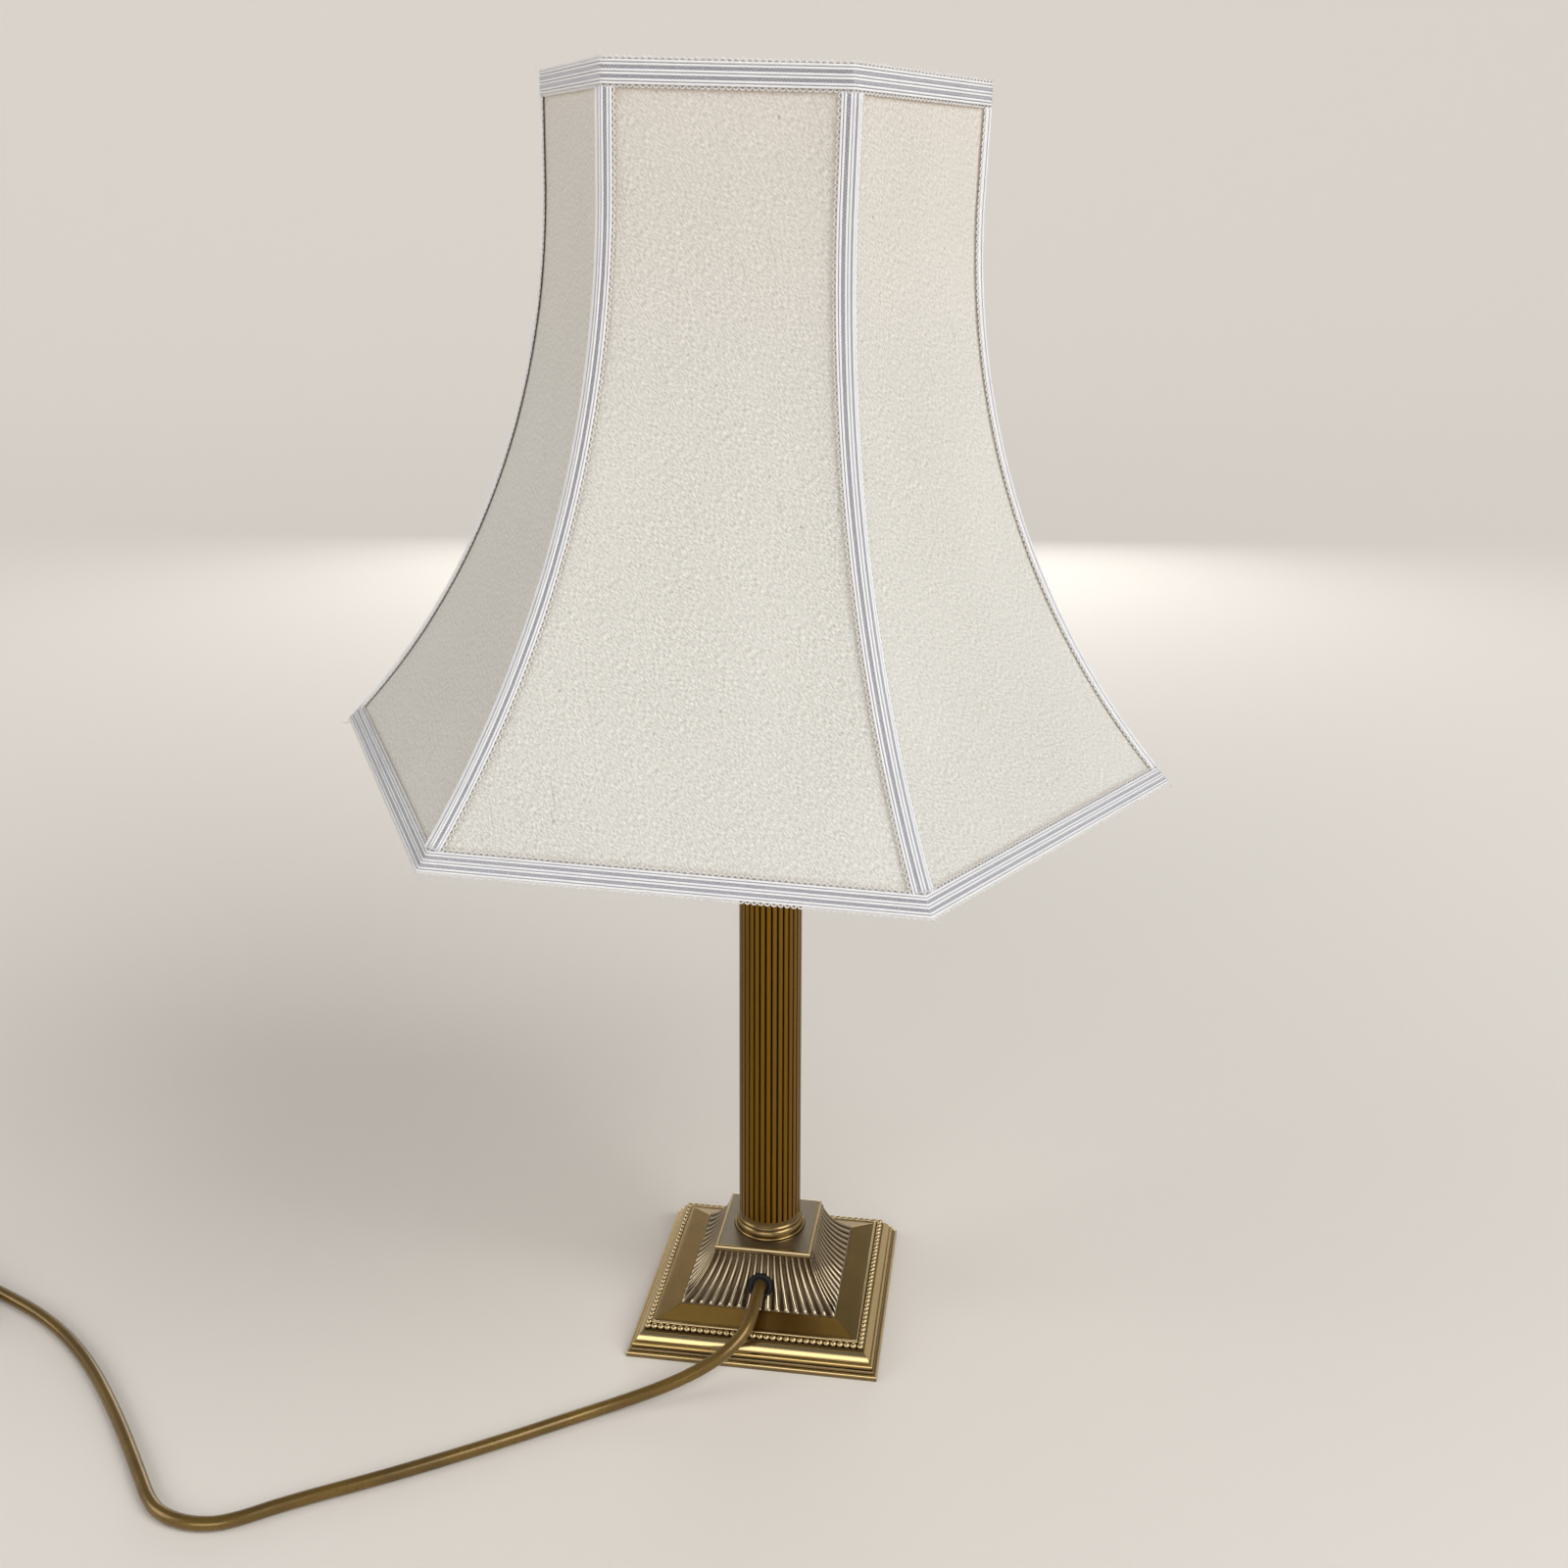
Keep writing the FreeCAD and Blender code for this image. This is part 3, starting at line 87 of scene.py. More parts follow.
class Graph:
    """A Principled material, with short calls for the nodes it is made of."""

    def __init__(self, name):
        self.material = bpy.data.materials.new(name)
        self.material.use_nodes = True
        self.tree = self.material.node_tree

    def put(self, target, value):
        """Links a value that comes out of a node and sets any other on the socket itself."""
        if isinstance(value, bpy.types.NodeSocket):
            self.tree.links.new(value, target)
        else:
            target.default_value = value

    def node(self, kind, inputs=(), **settings):
        made = self.tree.nodes.new(kind)
        for key, value in settings.items():
            setattr(made, key, value)
        for key, value in dict(inputs).items():
            self.put(made.inputs[key], value)
        return made

    def shaded(self, values):
        """The finished material, from values for its shader's sockets."""
        shader = self.tree.nodes["Principled BSDF"]
        for key, value in values.items():
            self.put(shader.inputs[key], value)
        return self.material

    def place(self):
        return self.node("ShaderNodeTexCoord").outputs["Object"]

    def uv(self):
        return self.node("ShaderNodeUVMap", uv_map="UVMap").outputs["UV"]

    def axes(self, vector):
        return self.node("ShaderNodeSeparateXYZ", {"Vector": vector}).outputs

    def attribute(self, name):
        return self.node("ShaderNodeAttribute", attribute_name=name).outputs["Fac"]

    def mapped(self, vector, scale=(1, 1, 1), rotation=(0, 0, 0)):
        return self.node("ShaderNodeMapping", {"Vector": vector, "Scale": scale,
                                               "Rotation": rotation}).outputs["Vector"]

    def strokes(self, vector, degrees, across, along):
        """Space for noise whose grains lean by an angle, from grains per metre each way."""
        leaning = self.mapped(vector, (1, 1, 1), (0, 0, radians(-degrees)))
        return self.mapped(leaning, (along, across, 1))

    def noise(self, vector, scale, detail=3.0, rough=0.5):
        return self.node("ShaderNodeTexNoise", {
            "Vector": vector, "Scale": scale, "Detail": detail,
            "Roughness": rough}).outputs["Fac"]

    def math(self, how, a, b=0.0, clamp=False):
        return self.node("ShaderNodeMath", {0: a, 1: b}, operation=how,
                         use_clamp=clamp).outputs[0]

    def spread(self, value, low, high, to_low=0.0, to_high=1.0):
        return self.node("ShaderNodeMapRange", {
            "Value": value, "From Min": low, "From Max": high, "To Min": to_low,
            "To Max": to_high}).outputs["Result"]

    def mix(self, factor, a, b):
        a, b = (value if isinstance(value, bpy.types.NodeSocket) else (*value, 1.0)
                for value in (a, b))
        return self.node("ShaderNodeMix", {MIX_FACTOR: factor, MIX_A: a, MIX_B: b},
                         data_type="RGBA").outputs[MIX_RESULT]

    def tinted(self, colour, *tints):
        """A colour with tints laid over it in turn, each as (share, tint)."""
        for share, tint in tints:
            colour = self.mix(share, colour, tint)
        return colour

    def bump(self, height, distance, strength, **under):
        return self.node("ShaderNodeBump", {"Height": height, "Distance": distance,
                                            "Strength": strength, **under}).outputs["Normal"]


def srgb(r, g, b):
    def linear(value):
        value /= 255.0
        return value / 12.92 if value <= 0.04045 else ((value + 0.055) / 1.055) ** 2.4

    return tuple(linear(value) for value in (r, g, b))


# ================================================================ materials
def brass_material(name, bright, dark, silver, rough, by_shape=False):
    """Antiqued brass: polished gold on what stands proud, brown in the recesses, some painted
    light on the base.
    """
    g = Graph(name)
    place = g.place()
    cloud = g.noise(place, 45.0, 4.0, 0.55)
    fine = g.noise(place, 600.0, 2.0, 0.5)
    if by_shape:
        proud = g.spread(g.node("ShaderNodeNewGeometry").outputs["Pointiness"], 0.45, 0.55)
    else:
        # patina from each point's value, which on the base also holds painted light and
        # highlight
        proud = g.attribute("wear")
    proud = g.math("ADD", proud, g.spread(cloud, 0.3, 0.7, -0.08, 0.08))
    proud = g.math("ADD", proud, g.spread(fine, 0.3, 0.7, -0.015, 0.015), clamp=True)
    roughness = g.spread(proud, 0, 1, rough + 0.14, rough)
    tone = bright
    if silver:
        tone = g.mix(g.attribute("silver"), bright, silver)
        satin = g.spread(g.attribute("silver"), 0.9, 1.0, 0.0, 0.2)
        roughness = g.math("ADD", roughness, satin)
    worn = g.mix(g.spread(cloud, 0.35, 0.7, 0.0, 0.15), tone, dark)
    clouded = g.bump(cloud, 0.0002, 0.12)
    return g.shaded({"Base Color": g.mix(proud, dark, worn), "Metallic": 1.0,
                     "Roughness": roughness,
                     "Normal": g.bump(fine, 0.00004, 0.12, Normal=clouded)})


def plated_material(name, colour, rough=0.32):
    """Drawn and plated metal, with fine lines along it."""
    g = Graph(name)
    place = g.place()
    cloud = g.noise(place, 70.0, 4.0)
    drawn = g.noise(g.mapped(place, (1, 1, 0.06)), 1800.0, 2.0)
    dull = tuple(v * 0.78 for v in colour)
    return g.shaded({"Base Color": g.mix(g.spread(cloud, 0.35, 0.7), colour, dull),
                     "Metallic": 1.0,
                     "Roughness": g.spread(cloud, 0.3, 0.7, rough, rough + 0.12),
                     "Normal": g.bump(drawn, 0.00003, 0.6)})


def plain_material(name, colour, rough, grain_scale=900.0, grain=0.00003, spread=0.12,
                   level=0.5):
    """Moulded plastic, enamel, felt or cast iron, by how coarse its grain is."""
    g = Graph(name)
    place = g.place()
    cloud = g.noise(place, 60.0, 3.0)
    darker = tuple(v * (1 - spread) for v in colour)
    paler = tuple(min(v * (1 + spread), 1) for v in colour)
    return g.shaded({"Base Color": g.mix(cloud, darker, paler), "Specular IOR Level": level,
                     "Roughness": g.spread(cloud, 0.3, 0.7, rough - 0.04, rough + 0.06),
                     "Normal": g.bump(g.noise(place, grain_scale, 3.0), grain, 0.7)})


def silk_material(name, light, deep):
    """Crepe silk: short threads on the bias, thin dark slubs, a few flecks and a soft sheen."""
    g = Graph(name)
    cloth = g.uv()
    crepe = g.noise(g.strokes(cloth, -48, 2300, 520), 1.0, 2.0, 0.6)
    cross = g.noise(g.strokes(cloth, 30, 2300, 700), 1.0, 2.0, 0.6)
    patch = g.spread(g.noise(cloth, 160.0, 2.0), 0.4, 0.6)
    slubs = g.spread(g.noise(g.strokes(cloth, 107, 620, 30), 1.0, 1.0, 0.4), 0.72, 0.80)
    cloud = g.noise(g.mapped(cloth, (14, 9, 1)), 1.0, 3.0)
    fleck = g.noise(g.mapped(cloth, (420, 260, 1)), 1.0, 0.0)
    weave = g.math("ADD", g.math("MULTIPLY", crepe, g.spread(patch, 0, 1, 0.85, 0.45)),
                   g.math("MULTIPLY", cross, g.spread(patch, 0, 1, 0.15, 0.55)))
    colour = g.tinted(
        g.mix(g.spread(weave, 0.42, 0.58), deep, light),
        (g.spread(cloud, 0.3, 0.7, 0.0, 0.22), light),
        # painted warm light: a pinkish tint toward the top of each panel
        (g.spread(g.axes(cloth)["Y"], 0.17, 0.33, 0.0, 0.24), srgb(226, 206, 194)),
        (g.math("MULTIPLY", slubs, 0.32), srgb(150, 142, 126)),
        (g.math("MULTIPLY", g.spread(fleck, 0.85, 0.88), 0.5), srgb(136, 118, 96)),
        # a golden-brown line beside the braids: partly glue showing through, partly painted
        # shadow
        (g.spread(g.attribute("edge"), 0.0, 1.7, 0.3, 0.0), srgb(176, 146, 112)))
    height = g.math("ADD", weave, g.math("MULTIPLY", slubs, 0.4))
    return g.shaded({"Base Color": colour, "Roughness": 0.58, "Sheen Weight": 0.3,
                     "Sheen Roughness": 0.35, "Normal": g.bump(height, 0.00016, 0.9)})


def lining_material():
    g = Graph("lining_cloth")
    weave = g.noise(g.mapped(g.uv(), (1600, 200, 1)), 1.0, 2.0)
    return g.shaded({"Base Color": g.mix(weave, srgb(226, 219, 203), srgb(240, 235, 224)),
                     "Roughness": 0.5, "Normal": g.bump(weave, 0.00008, 0.5)})


def thread_material(name, light, deep, twist=9000.0):
    """Glossy rayon thread: UV runs along the thread in metres and once round it."""
    g = Graph(name)
    along, place = g.axes(g.uv()), g.place()
    phase = g.math("ADD", g.math("MULTIPLY", along["X"], twist),
                   g.math("MULTIPLY", along["Y"], tau))
    strand = g.spread(g.math("SINE", phase), -1.0, 1.0)
    fuzz = g.noise(place, 2400.0, 2.0)
    soil = g.noise(place, 60.0, 3.0)
    # painted shade between the twisted strands
    between = g.math("MULTIPLY", g.math("SUBTRACT", 1.0, strand), 0.35)
    colour = g.tinted(light, (between, deep), (g.spread(soil, 0.5, 0.8, 0.0, 0.18), deep),
                      (g.spread(fuzz, 0.3, 0.7, 0.0, 0.2), light))
    height = g.math("ADD", strand, g.math("MULTIPLY", fuzz, 0.3))
    return g.shaded({"Base Color": colour, "Roughness": 0.45, "Sheen Weight": 0.2,
                     "Normal": g.bump(height, 0.00006, 0.6)})


def tape_material():
    """Woven ground of the braid: UV is along and across in metres, dark between its rungs."""
    g = Graph("braid_ground")
    rung_pitch = 0.0008
    phase = g.math("MULTIPLY", g.axes(g.uv())["X"], tau / rung_pitch)
    rung = g.spread(g.math("SINE", phase), -0.6, 0.8)
    fuzz = g.noise(g.place(), 2200.0, 2.0)
    colour = g.tinted(srgb(158, 155, 165), (rung, srgb(210, 209, 217)),
                      (g.spread(fuzz, 0.3, 0.7, 0.0, 0.3), srgb(200, 198, 204)))
    return g.shaded({"Base Color": colour, "Roughness": 0.6,
                     "Normal": g.bump(g.math("ADD", rung, fuzz), 0.00015, 0.8)})


def flex_material():
    """Gold sheath: glossy, a little uneven, with small marks along it."""
    g = Graph("gold_sheath")
    place = g.place()
    cloud = g.noise(place, 40.0, 3.0)
    marks = g.spread(g.noise(place, 520.0, 2.0), 0.66, 0.74)
    colour = g.tinted(srgb(122, 96, 40), (g.spread(cloud, 0.3, 0.7), srgb(96, 73, 28)),
                      (g.math("MULTIPLY", marks, 0.55), srgb(62, 47, 24)))
    return g.shaded({"Base Color": colour, "Metallic": 0.45, "Coat Weight": 0.25,
                     "Coat Roughness": 0.15,
                     "Roughness": g.spread(cloud, 0.3, 0.7, 0.24, 0.34),
                     "Normal": g.bump(g.noise(place, 160.0, 3.0), 0.0003, 0.3)})


def glass_material():
    g = Graph("opal_glass")
    place = g.place()
    colour = g.mix(g.noise(place, 30.0), (0.86, 0.85, 0.81), (0.92, 0.91, 0.88))
    return g.shaded({"Base Color": colour, "Roughness": 0.22, "Subsurface Weight": 0.15,
                     "Subsurface Scale": 0.004,
                     "Normal": g.bump(g.noise(place, 240.0), 0.00003, 0.4)})


def earth_material():
    """The earth core's green sheath with yellow stripes."""
    g = Graph("striped_core")
    place = g.place()
    waves = g.math("SINE", g.math("MULTIPLY", g.axes(place)["X"], 3000))
    stripe = g.math("GREATER_THAN", waves, 0.2)
    return g.shaded({"Base Color": g.mix(stripe, srgb(60, 130, 50), srgb(215, 200, 60)),
                     "Roughness": 0.4, "Normal": g.bump(g.noise(place, 900.0), 0.00002, 0.5)})


GOLD = srgb(204, 172, 102)
SILVERED = srgb(196, 184, 160)
# olive lacquered brass, made darker still as painted shade for the lampshade's shadow on the
# column
OLIVE_AND_SHADE = srgb(134, 100, 34)
BRONZE = srgb(54, 36, 19)
materials = {
    "base_brass": brass_material("antique_brass", GOLD, BRONZE, SILVERED, 0.17),
    "column_brass_and_shade": brass_material("column_brass_and_shade", OLIVE_AND_SHADE, srgb(36, 21, 10), None, 0.24),
    "brass": brass_material("bright_brass", srgb(198, 168, 104), BRONZE, None, 0.24, True),
    "plated": plated_material("plated_steel", srgb(190, 180, 150)),
    "iron": plain_material("cast_iron", srgb(58, 58, 60), 0.6, 350.0, 0.0002),
    "felt": plain_material("green_felt", srgb(38, 76, 52), 0.95, 1500.0, 0.0003, 0.3),
    "black": plain_material("black_moulding", srgb(13, 13, 18), 0.42),
    "bush": plain_material("cord_bush", srgb(5, 5, 9), 0.55, level=0.3),
    "solder": plated_material("solder", srgb(190, 190, 190), 0.45),
    "glass": glass_material(),
    "silk": silk_material("crepe_silk", srgb(241, 239, 232), srgb(189, 187, 178)),
    "lining": lining_material(),
    "braid_cord": thread_material("braid_cord", srgb(252, 252, 252), srgb(212, 212, 218)),
    "braid_row": thread_material("braid_row", srgb(228, 228, 234), srgb(172, 172, 184), 12000.0),
    "tape": tape_material(),
    "picot": thread_material("picot_thread", srgb(242, 240, 238), srgb(190, 184, 178), 12000.0),
    "flex": flex_material(),
    "brown": plain_material("brown_core", srgb(96, 56, 34), 0.4),
    "blue": plain_material("blue_core", srgb(52, 96, 160), 0.4),
    "striped": earth_material(),
    "tie": plain_material("tie_plastic", srgb(214, 214, 208), 0.45),
}


# ================================================================ mesh helpers
def linked(name, data):
    made = bpy.data.objects.new(name, data)
    bpy.context.scene.collection.objects.link(made)
    return made


def weld(made, distance):
    work = bmesh.new()
    work.from_mesh(made.data)
    bmesh.ops.remove_doubles(work, verts=work.verts, dist=distance * MM)
    bmesh.ops.recalc_face_normals(work, faces=work.faces)
    work.to_mesh(made.data)
    work.free()


def sharp_by_angle(made, degrees):
    """Keeps edges sharper than an angle crisp under smooth shading."""
    made.data.set_sharp_from_angle(angle=radians(degrees))


def piece(name, points, faces, material, body, slot, replaces=(), uvs=None, welded=0.0,
          sharp=0, **values):
    """A mesh piece from points in millimetres; uvs and named values are per point."""
    mesh = bpy.data.meshes.new(name)
    points = np.asarray(points, dtype=float) * MM
    mesh.from_pydata([tuple(p) for p in points], [], [tuple(f) for f in faces])
    mesh.validate()
    mesh.update()
    if uvs is not None:
        layer = mesh.uv_layers.new(name="UVMap")
        corner = np.empty(len(mesh.loops), dtype=np.int64)
        mesh.loops.foreach_get("vertex_index", corner)
        layer.data.foreach_set("uv", np.asarray(uvs, dtype=float)[corner].ravel())
    for key, value in values.items():
        attribute = mesh.attributes.new(key, "FLOAT", "POINT")
        attribute.data.foreach_set("value", np.asarray(value, dtype=float).ravel())
    mesh.polygons.foreach_set("use_smooth", [True] * len(mesh.polygons))
    mesh.materials.append(materials[material])
    made = linked(name, mesh)
    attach(made, body)
    if replaces:
        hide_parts(*replaces)
    if welded:
        weld(made, welded)
    if sharp:
        sharp_by_angle(made, sharp)
    return made


def grid_faces(rows, columns, start=0, close_rows=False, close_columns=False):
    """Quads of a grid of points, row by row."""
    faces = []
    for i in range(rows if close_rows else rows - 1):
        for j in range(columns if close_columns else columns - 1):
            here, there = start + i * columns, start + (i + 1) % rows * columns
            after = (j + 1) % columns
            faces.append((here + j, here + after, there + after, there + j))
    return faces


def arc(a, b, c, count):
    """Points on the arc through three points, without the first."""
    (ax, ay), (bx, by), (cx, cy) = a, b, c
    d = 2 * (ax * (by - cy) + bx * (cy - ay) + cx * (ay - by))
    ux = ((ax**2 + ay**2) * (by - cy) + (bx**2 + by**2) * (cy - ay)
          + (cx**2 + cy**2) * (ay - by)) / d
    uy = ((ax**2 + ay**2) * (cx - bx) + (bx**2 + by**2) * (ax - cx)
          + (cx**2 + cy**2) * (bx - ax)) / d
    r = hypot(ax - ux, ay - uy)
    first = atan2(ay - uy, ax - ux)
    last = atan2(cy - uy, cx - ux)
    middle = atan2(by - uy, bx - ux)
    turn = (last - first) % tau
    if (middle - first) % tau > turn:
        turn -= tau
    angles = [first + turn * i / count for i in range(1, count + 1)]
    return [(ux + r * cos(angle), uy + r * sin(angle)) for angle in angles]


def mouldings(table, edge=None):
    """Rows (radius, height, *values) from lines of (values, steps of an arc or 0, points).

    With an edge, the points say how far inside it they lie, instead of a radius.
    """
    rows = []
    for values, steps, points in table:
        if edge is not None:
            points = [(edge - inset, z) for inset, z in points]
        rows += [(*point, *values) for point in (arc(*points, steps) if steps else points)]
    return rows


def turned(name, profile, around, material, body, slot, replaces, wear=(1.0,), axis=None,
           silver=0.0, **finish):
    """A turned piece from an outline of (radius, height), closed where it leaves the axis."""
    points = []
    for k in range(around):
        angle = tau * k / around
        points += [(r * cos(angle), r * sin(angle), z) for r, z in profile]
    faces = grid_faces(around, len(profile), close_rows=True, close_columns=True)
    if axis is not None:
        points = [tuple(axis @ Vector(p)) for p in points]
    return piece(name, points, [face[::-1] for face in faces], material, body, slot, replaces,
                 wear=np.resize(wear, len(points)), silver=[silver] * len(points), **finish)


def unit(rows):
    return rows / np.linalg.norm(rows, axis=1)[:, None]


def swept(paths, radius, sides):
    """Tubes round many polylines at once, with UVs along (metres) and round (0 to 1)."""
    points, faces, uvs = [], [], []
    start = 0
    for path, normal in paths:
        path = np.asarray(path, dtype=float)
        tangent = unit(np.gradient(path, axis=0))
        across = unit(np.cross(tangent, normal))
        out = np.cross(across, tangent)
        step = np.linalg.norm(np.diff(path, axis=0), axis=1)
        along = np.concatenate([[0], np.cumsum(step)]) * MM
        count = len(path)
        for k in range(sides):
            c, s = cos(tau * k / sides), sin(tau * k / sides)
            points.append(path + (across * c + out * s) * radius)
            uvs.append(np.stack([along, np.full(count, k / sides)], axis=1))
            here, there = start + k * count, start + (k + 1) % sides * count
            faces += [(here + i, here + i + 1, there + i + 1, there + i)
                      for i in range(count - 1)]
        faces.append([start + k * count for k in range(sides)])
        faces.append([start + k * count + count - 1 for k in range(sides)][::-1])
        start += sides * count
    return np.concatenate(points), faces, np.concatenate(uvs)


# ================================================================ base
# (wear, silver), steps of an arc or 0, and points as inset from the foot's edge and height
FOOT = [
    ((0.4, 0.5), 0, [(0.15, 0.0), (0.0, 0.15), (0.0, 1.0), (0.0, 1.7)]),
    ((1.0, 0.3), 6, [(0.0, 1.7), (0.3, 2.6), (1.2, 2.95)]),
    ((0.3, 0.4), 0, [(1.5, 3.0), (1.7, 3.05)]),
    ((0.42, 0.5), 0, [(1.72, 3.2), (1.75, 3.9)]),
    ((0.5, 0.5), 4, [(1.75, 3.9), (1.9, 4.3), (2.4, 4.45)]),
    ((0.1, 0.5), 0, [(2.75, 4.5), (2.8, 4.7)]),
    ((0.32, 0.15), 0, [(2.6, 4.9), (2.55, 5.5)]),
    ((1.0, 0.15), 7, [(2.55, 5.5), (2.9, 6.55), (3.9, 6.95)]),
    ((0.3, 0.15), 0, [(4.1, 7.0), (4.12, 7.15)]),
    ((0.92, 0.35), 12, [(4.1, 7.2), (5.35, 9.5), (7.1, 11.25)]),
    ((0.35, 0.15), 0, [(7.4, 11.42), (7.9, 11.5)]),
    ((0.05, 0.15), 0, [(8.0, 12.1), (8.2, 12.2), (9.5, 12.2), (10.85, 12.2)]),
    ((0.3, 0.15), 0, [(11.0, 12.5), (11.05, 14.0)]),
    ((1.0, 0.5), 5, [(11.05, 14.0), (11.5, 14.75), (12.3, 14.55)]),
    ((0.4, 0.15), 0, [(12.6, 14.4), (13.0, 14.5)]),
]
# the same for the platform's lip, with insets from the platform's edge
LIP = [
    ((0.4, 0.5), 0, [(-0.05, neck_z + 0.1), (-0.15, neck_z + 0.3)]),
    ((0.5, 0.5), 0, [(-0.15, neck_z + 0.6), (-0.05, platform_z - 1.3)]),
    ((1.0, 0.55), 10, [(-0.05, platform_z - 1.2), (0.35, platform_z - 0.35), (1.5, platform_z)]),
    ((0.42, 1.0), 0, [(2.0, platform_z), (6.0, platform_z), (platform_half - 12.0, platform_z)]),
]
plateau_half, plateau_z = foot_half - 13.0, 14.5
# the front side's plateau value is painted light: that side is made lighter than the other three
plateau_wear, plateau_wear_front = 0.34, 0.7
front_side = 3
ridge_share, flute_depth, mitre_height = 0.46, 0.28, 0.72


def middle_of_arc(start, end, sag):
    run, rise = end[0] - start[0], end[1] - start[1]
    length = hypot(run, rise)
    return ((start[0] + end[0]) / 2 + sag * rise / length,
            (start[1] + end[1]) / 2 - sag * run / length)


def pyramid_line(count):
    """The pyramid's hollow side, from its foot to its neck."""
    foot, neck = (pyramid_half, pyramid_z), (neck_half, neck_z)
    return [foot] + arc(foot, middle_of_arc(neck, foot, waist_sag), neck, count)


def base_outline():
    """The casting's outside up to the platform: (half, height, wear, silver, reed height)."""
    rows = mouldings(FOOT, foot_half)
    rows += [(plateau_half + (pyramid_half - plateau_half) * t,
              plateau_z + (pyramid_z - plateau_z) * t, plateau_wear, 0.0)
             for t in np.linspace(0.12, 0.94, 7)]
    rows.append((pyramid_half + 0.15, pyramid_z - 0.1, 0.15, 0.3))
    rows = [(*row, 0.0) for row in rows]
    curve = pyramid_line(30)
    for i, (half, z) in enumerate(curve):
        share = i / (len(curve) - 1)
        rise = min(1.0, (share / 0.05) ** 0.5)
        tip = max(0.0, (share - 0.9) / 0.1)
        rows.append((half, z, 0.5, 0.85, rise * (1.05 - 0.4 * share + 0.6 * tip)))
    return rows + [(*row, 0.0) for row in mouldings(LIP, platform_half)]


def base_inside():
    """The underside in the same terms, from the platform down to the foot's rim."""
    neck = (neck_half - 2.7, roof_z)
    foot = (pyramid_half - 2.6, pyramid_z - 2.6)
    rows = [(4.0, platform_z), (4.0, roof_z), neck]
    rows += arc(neck, middle_of_arc(neck, foot, waist_sag), foot, 3)
    rows += [(pyramid_half + 1.4, 11.2), (52.0, 11.2), (54.0, 9.0), (58.6, 4.4),
             (58.6, 2.7), (61.4, 2.7), (61.4, 0.0)]
    return [(half, z, 0.3, 0.2, 0.0) for half, z in rows]


def base_casting():
    """Four mitred sides; on the pyramid each pitch has a convex ridge and a shallow flute."""
    rows = np.array(base_outline() + base_inside())
    halves, heights, worn, silver, reed = rows.T
    per_pitch = 12
    columns = reeds_per_side * per_pitch + 1
    slope = np.gradient(rows[:, :2], axis=0)
    slope /= np.maximum(np.linalg.norm(slope, axis=1), 1e-9)[:, None]
    out_way, up_way = slope[:, 1], -slope[:, 0]
    share = np.linspace(-1, 1, columns)
    mitre = np.abs(share) > 0.999
    phase = np.abs((np.arange(columns) / per_pitch + 0.5) % 1.0 - 0.5) * 2
    ridge = np.sqrt(np.clip(1 - (phase / ridge_share) ** 2, 0, 1))
    in_flute = np.clip((phase - ridge_share) / (1 - ridge_share), 0, 1)
    shape = np.where(phase < ridge_share, ridge, -flute_depth * np.sin(in_flute * pi / 2))
    points, faces, wear = [], [], []
    for side in range(4):
        c, s = cos(pi / 2 * side), sin(pi / 2 * side)
        start = side * len(rows) * columns
        for i in range(len(rows)):
            lift = reed[i] * shape
            half = np.where(mitre, halves[i] + mitre_height * reed[i] * out_way[i],
                            halves[i] + out_way[i] * lift)
            z = heights[i] + up_way[i] * lift
            along = share * np.where(mitre, half, halves[i] + out_way[i] * lift * np.abs(share))
            points.append(np.stack([half * c - along * s, half * s + along * c, z], axis=1))
            tone = np.full(columns, worn[i])
            if reed[i] > 0:
                high = (z - pyramid_z) / (neck_z - pyramid_z)
                # painted highlight and shade: the ridges are lighter near the pyramid's foot and
                # at their tips, darker upwards
                painted_highlight = np.where(high > 0.94, 0.92, 0.92 - 0.42 * np.minimum(high, 0.9))
                tone = 0.08 + np.maximum(shape, 0) * painted_highlight
            elif plateau_z + 0.35 < heights[i] < pyramid_z - 0.15:
                # painted light: the front side's plateau is lighter than the other three sides
                tone[:] = plateau_wear_front if side == front_side else plateau_wear
            wear.append(tone)
        faces += grid_faces(len(rows), columns, start)
        last = start + (len(rows) - 1) * columns
        faces += [(last + k, last + k + 1, start + k + 1, start + k) for k in range(columns - 1)]
    piece("base_body", np.concatenate(points), [face[::-1] for face in faces], "base_brass",
          "stand", "brass", ("base_casting",), welded=0.02, sharp=38,
          wear=np.concatenate(wear), silver=np.tile(np.repeat(silver, columns), 4))


def bead_row():
    """Pearls all round the ledge of the foot, a little longer than wide but for the corners."""
    points, faces, wear = [], [], []
    rings, around = 7, 14
    low, flatter, longer = 20, 0.9, 1.08
    pitch = 2 * bead_half / beads_per_side
    for side in range(4):
        turn = pi / 2 * side
        out = np.array([cos(turn), sin(turn)])
        way = np.array([-sin(turn), cos(turn)])
        for bead in range(beads_per_side):
            centre = out * bead_half + way * (pitch * bead - bead_half)
            long = longer if bead else 1.0
            start = len(points)
            for i in range(rings + 1):
                lift = radians(-low + (90 + low) * i / rings)
                r, z = bead_r * cos(lift), bead_r * sin(lift)
                for k in range(around):
                    angle = tau * k / around
                    x, y = centre + out * r * cos(angle) + way * r * long * sin(angle)
                    points.append((x, y, bead_z + z * flatter))
                    wear.append(min(0.95, 0.3 + 1.6 * i / rings))
            faces += grid_faces(rings + 1, around, start, close_columns=True)
            faces.append([start + k for k in range(around)][::-1])
    piece("bead_row", points, faces, "base_brass", "stand", "brass", welded=0.02, wear=wear,
          silver=[0.5] * len(points))


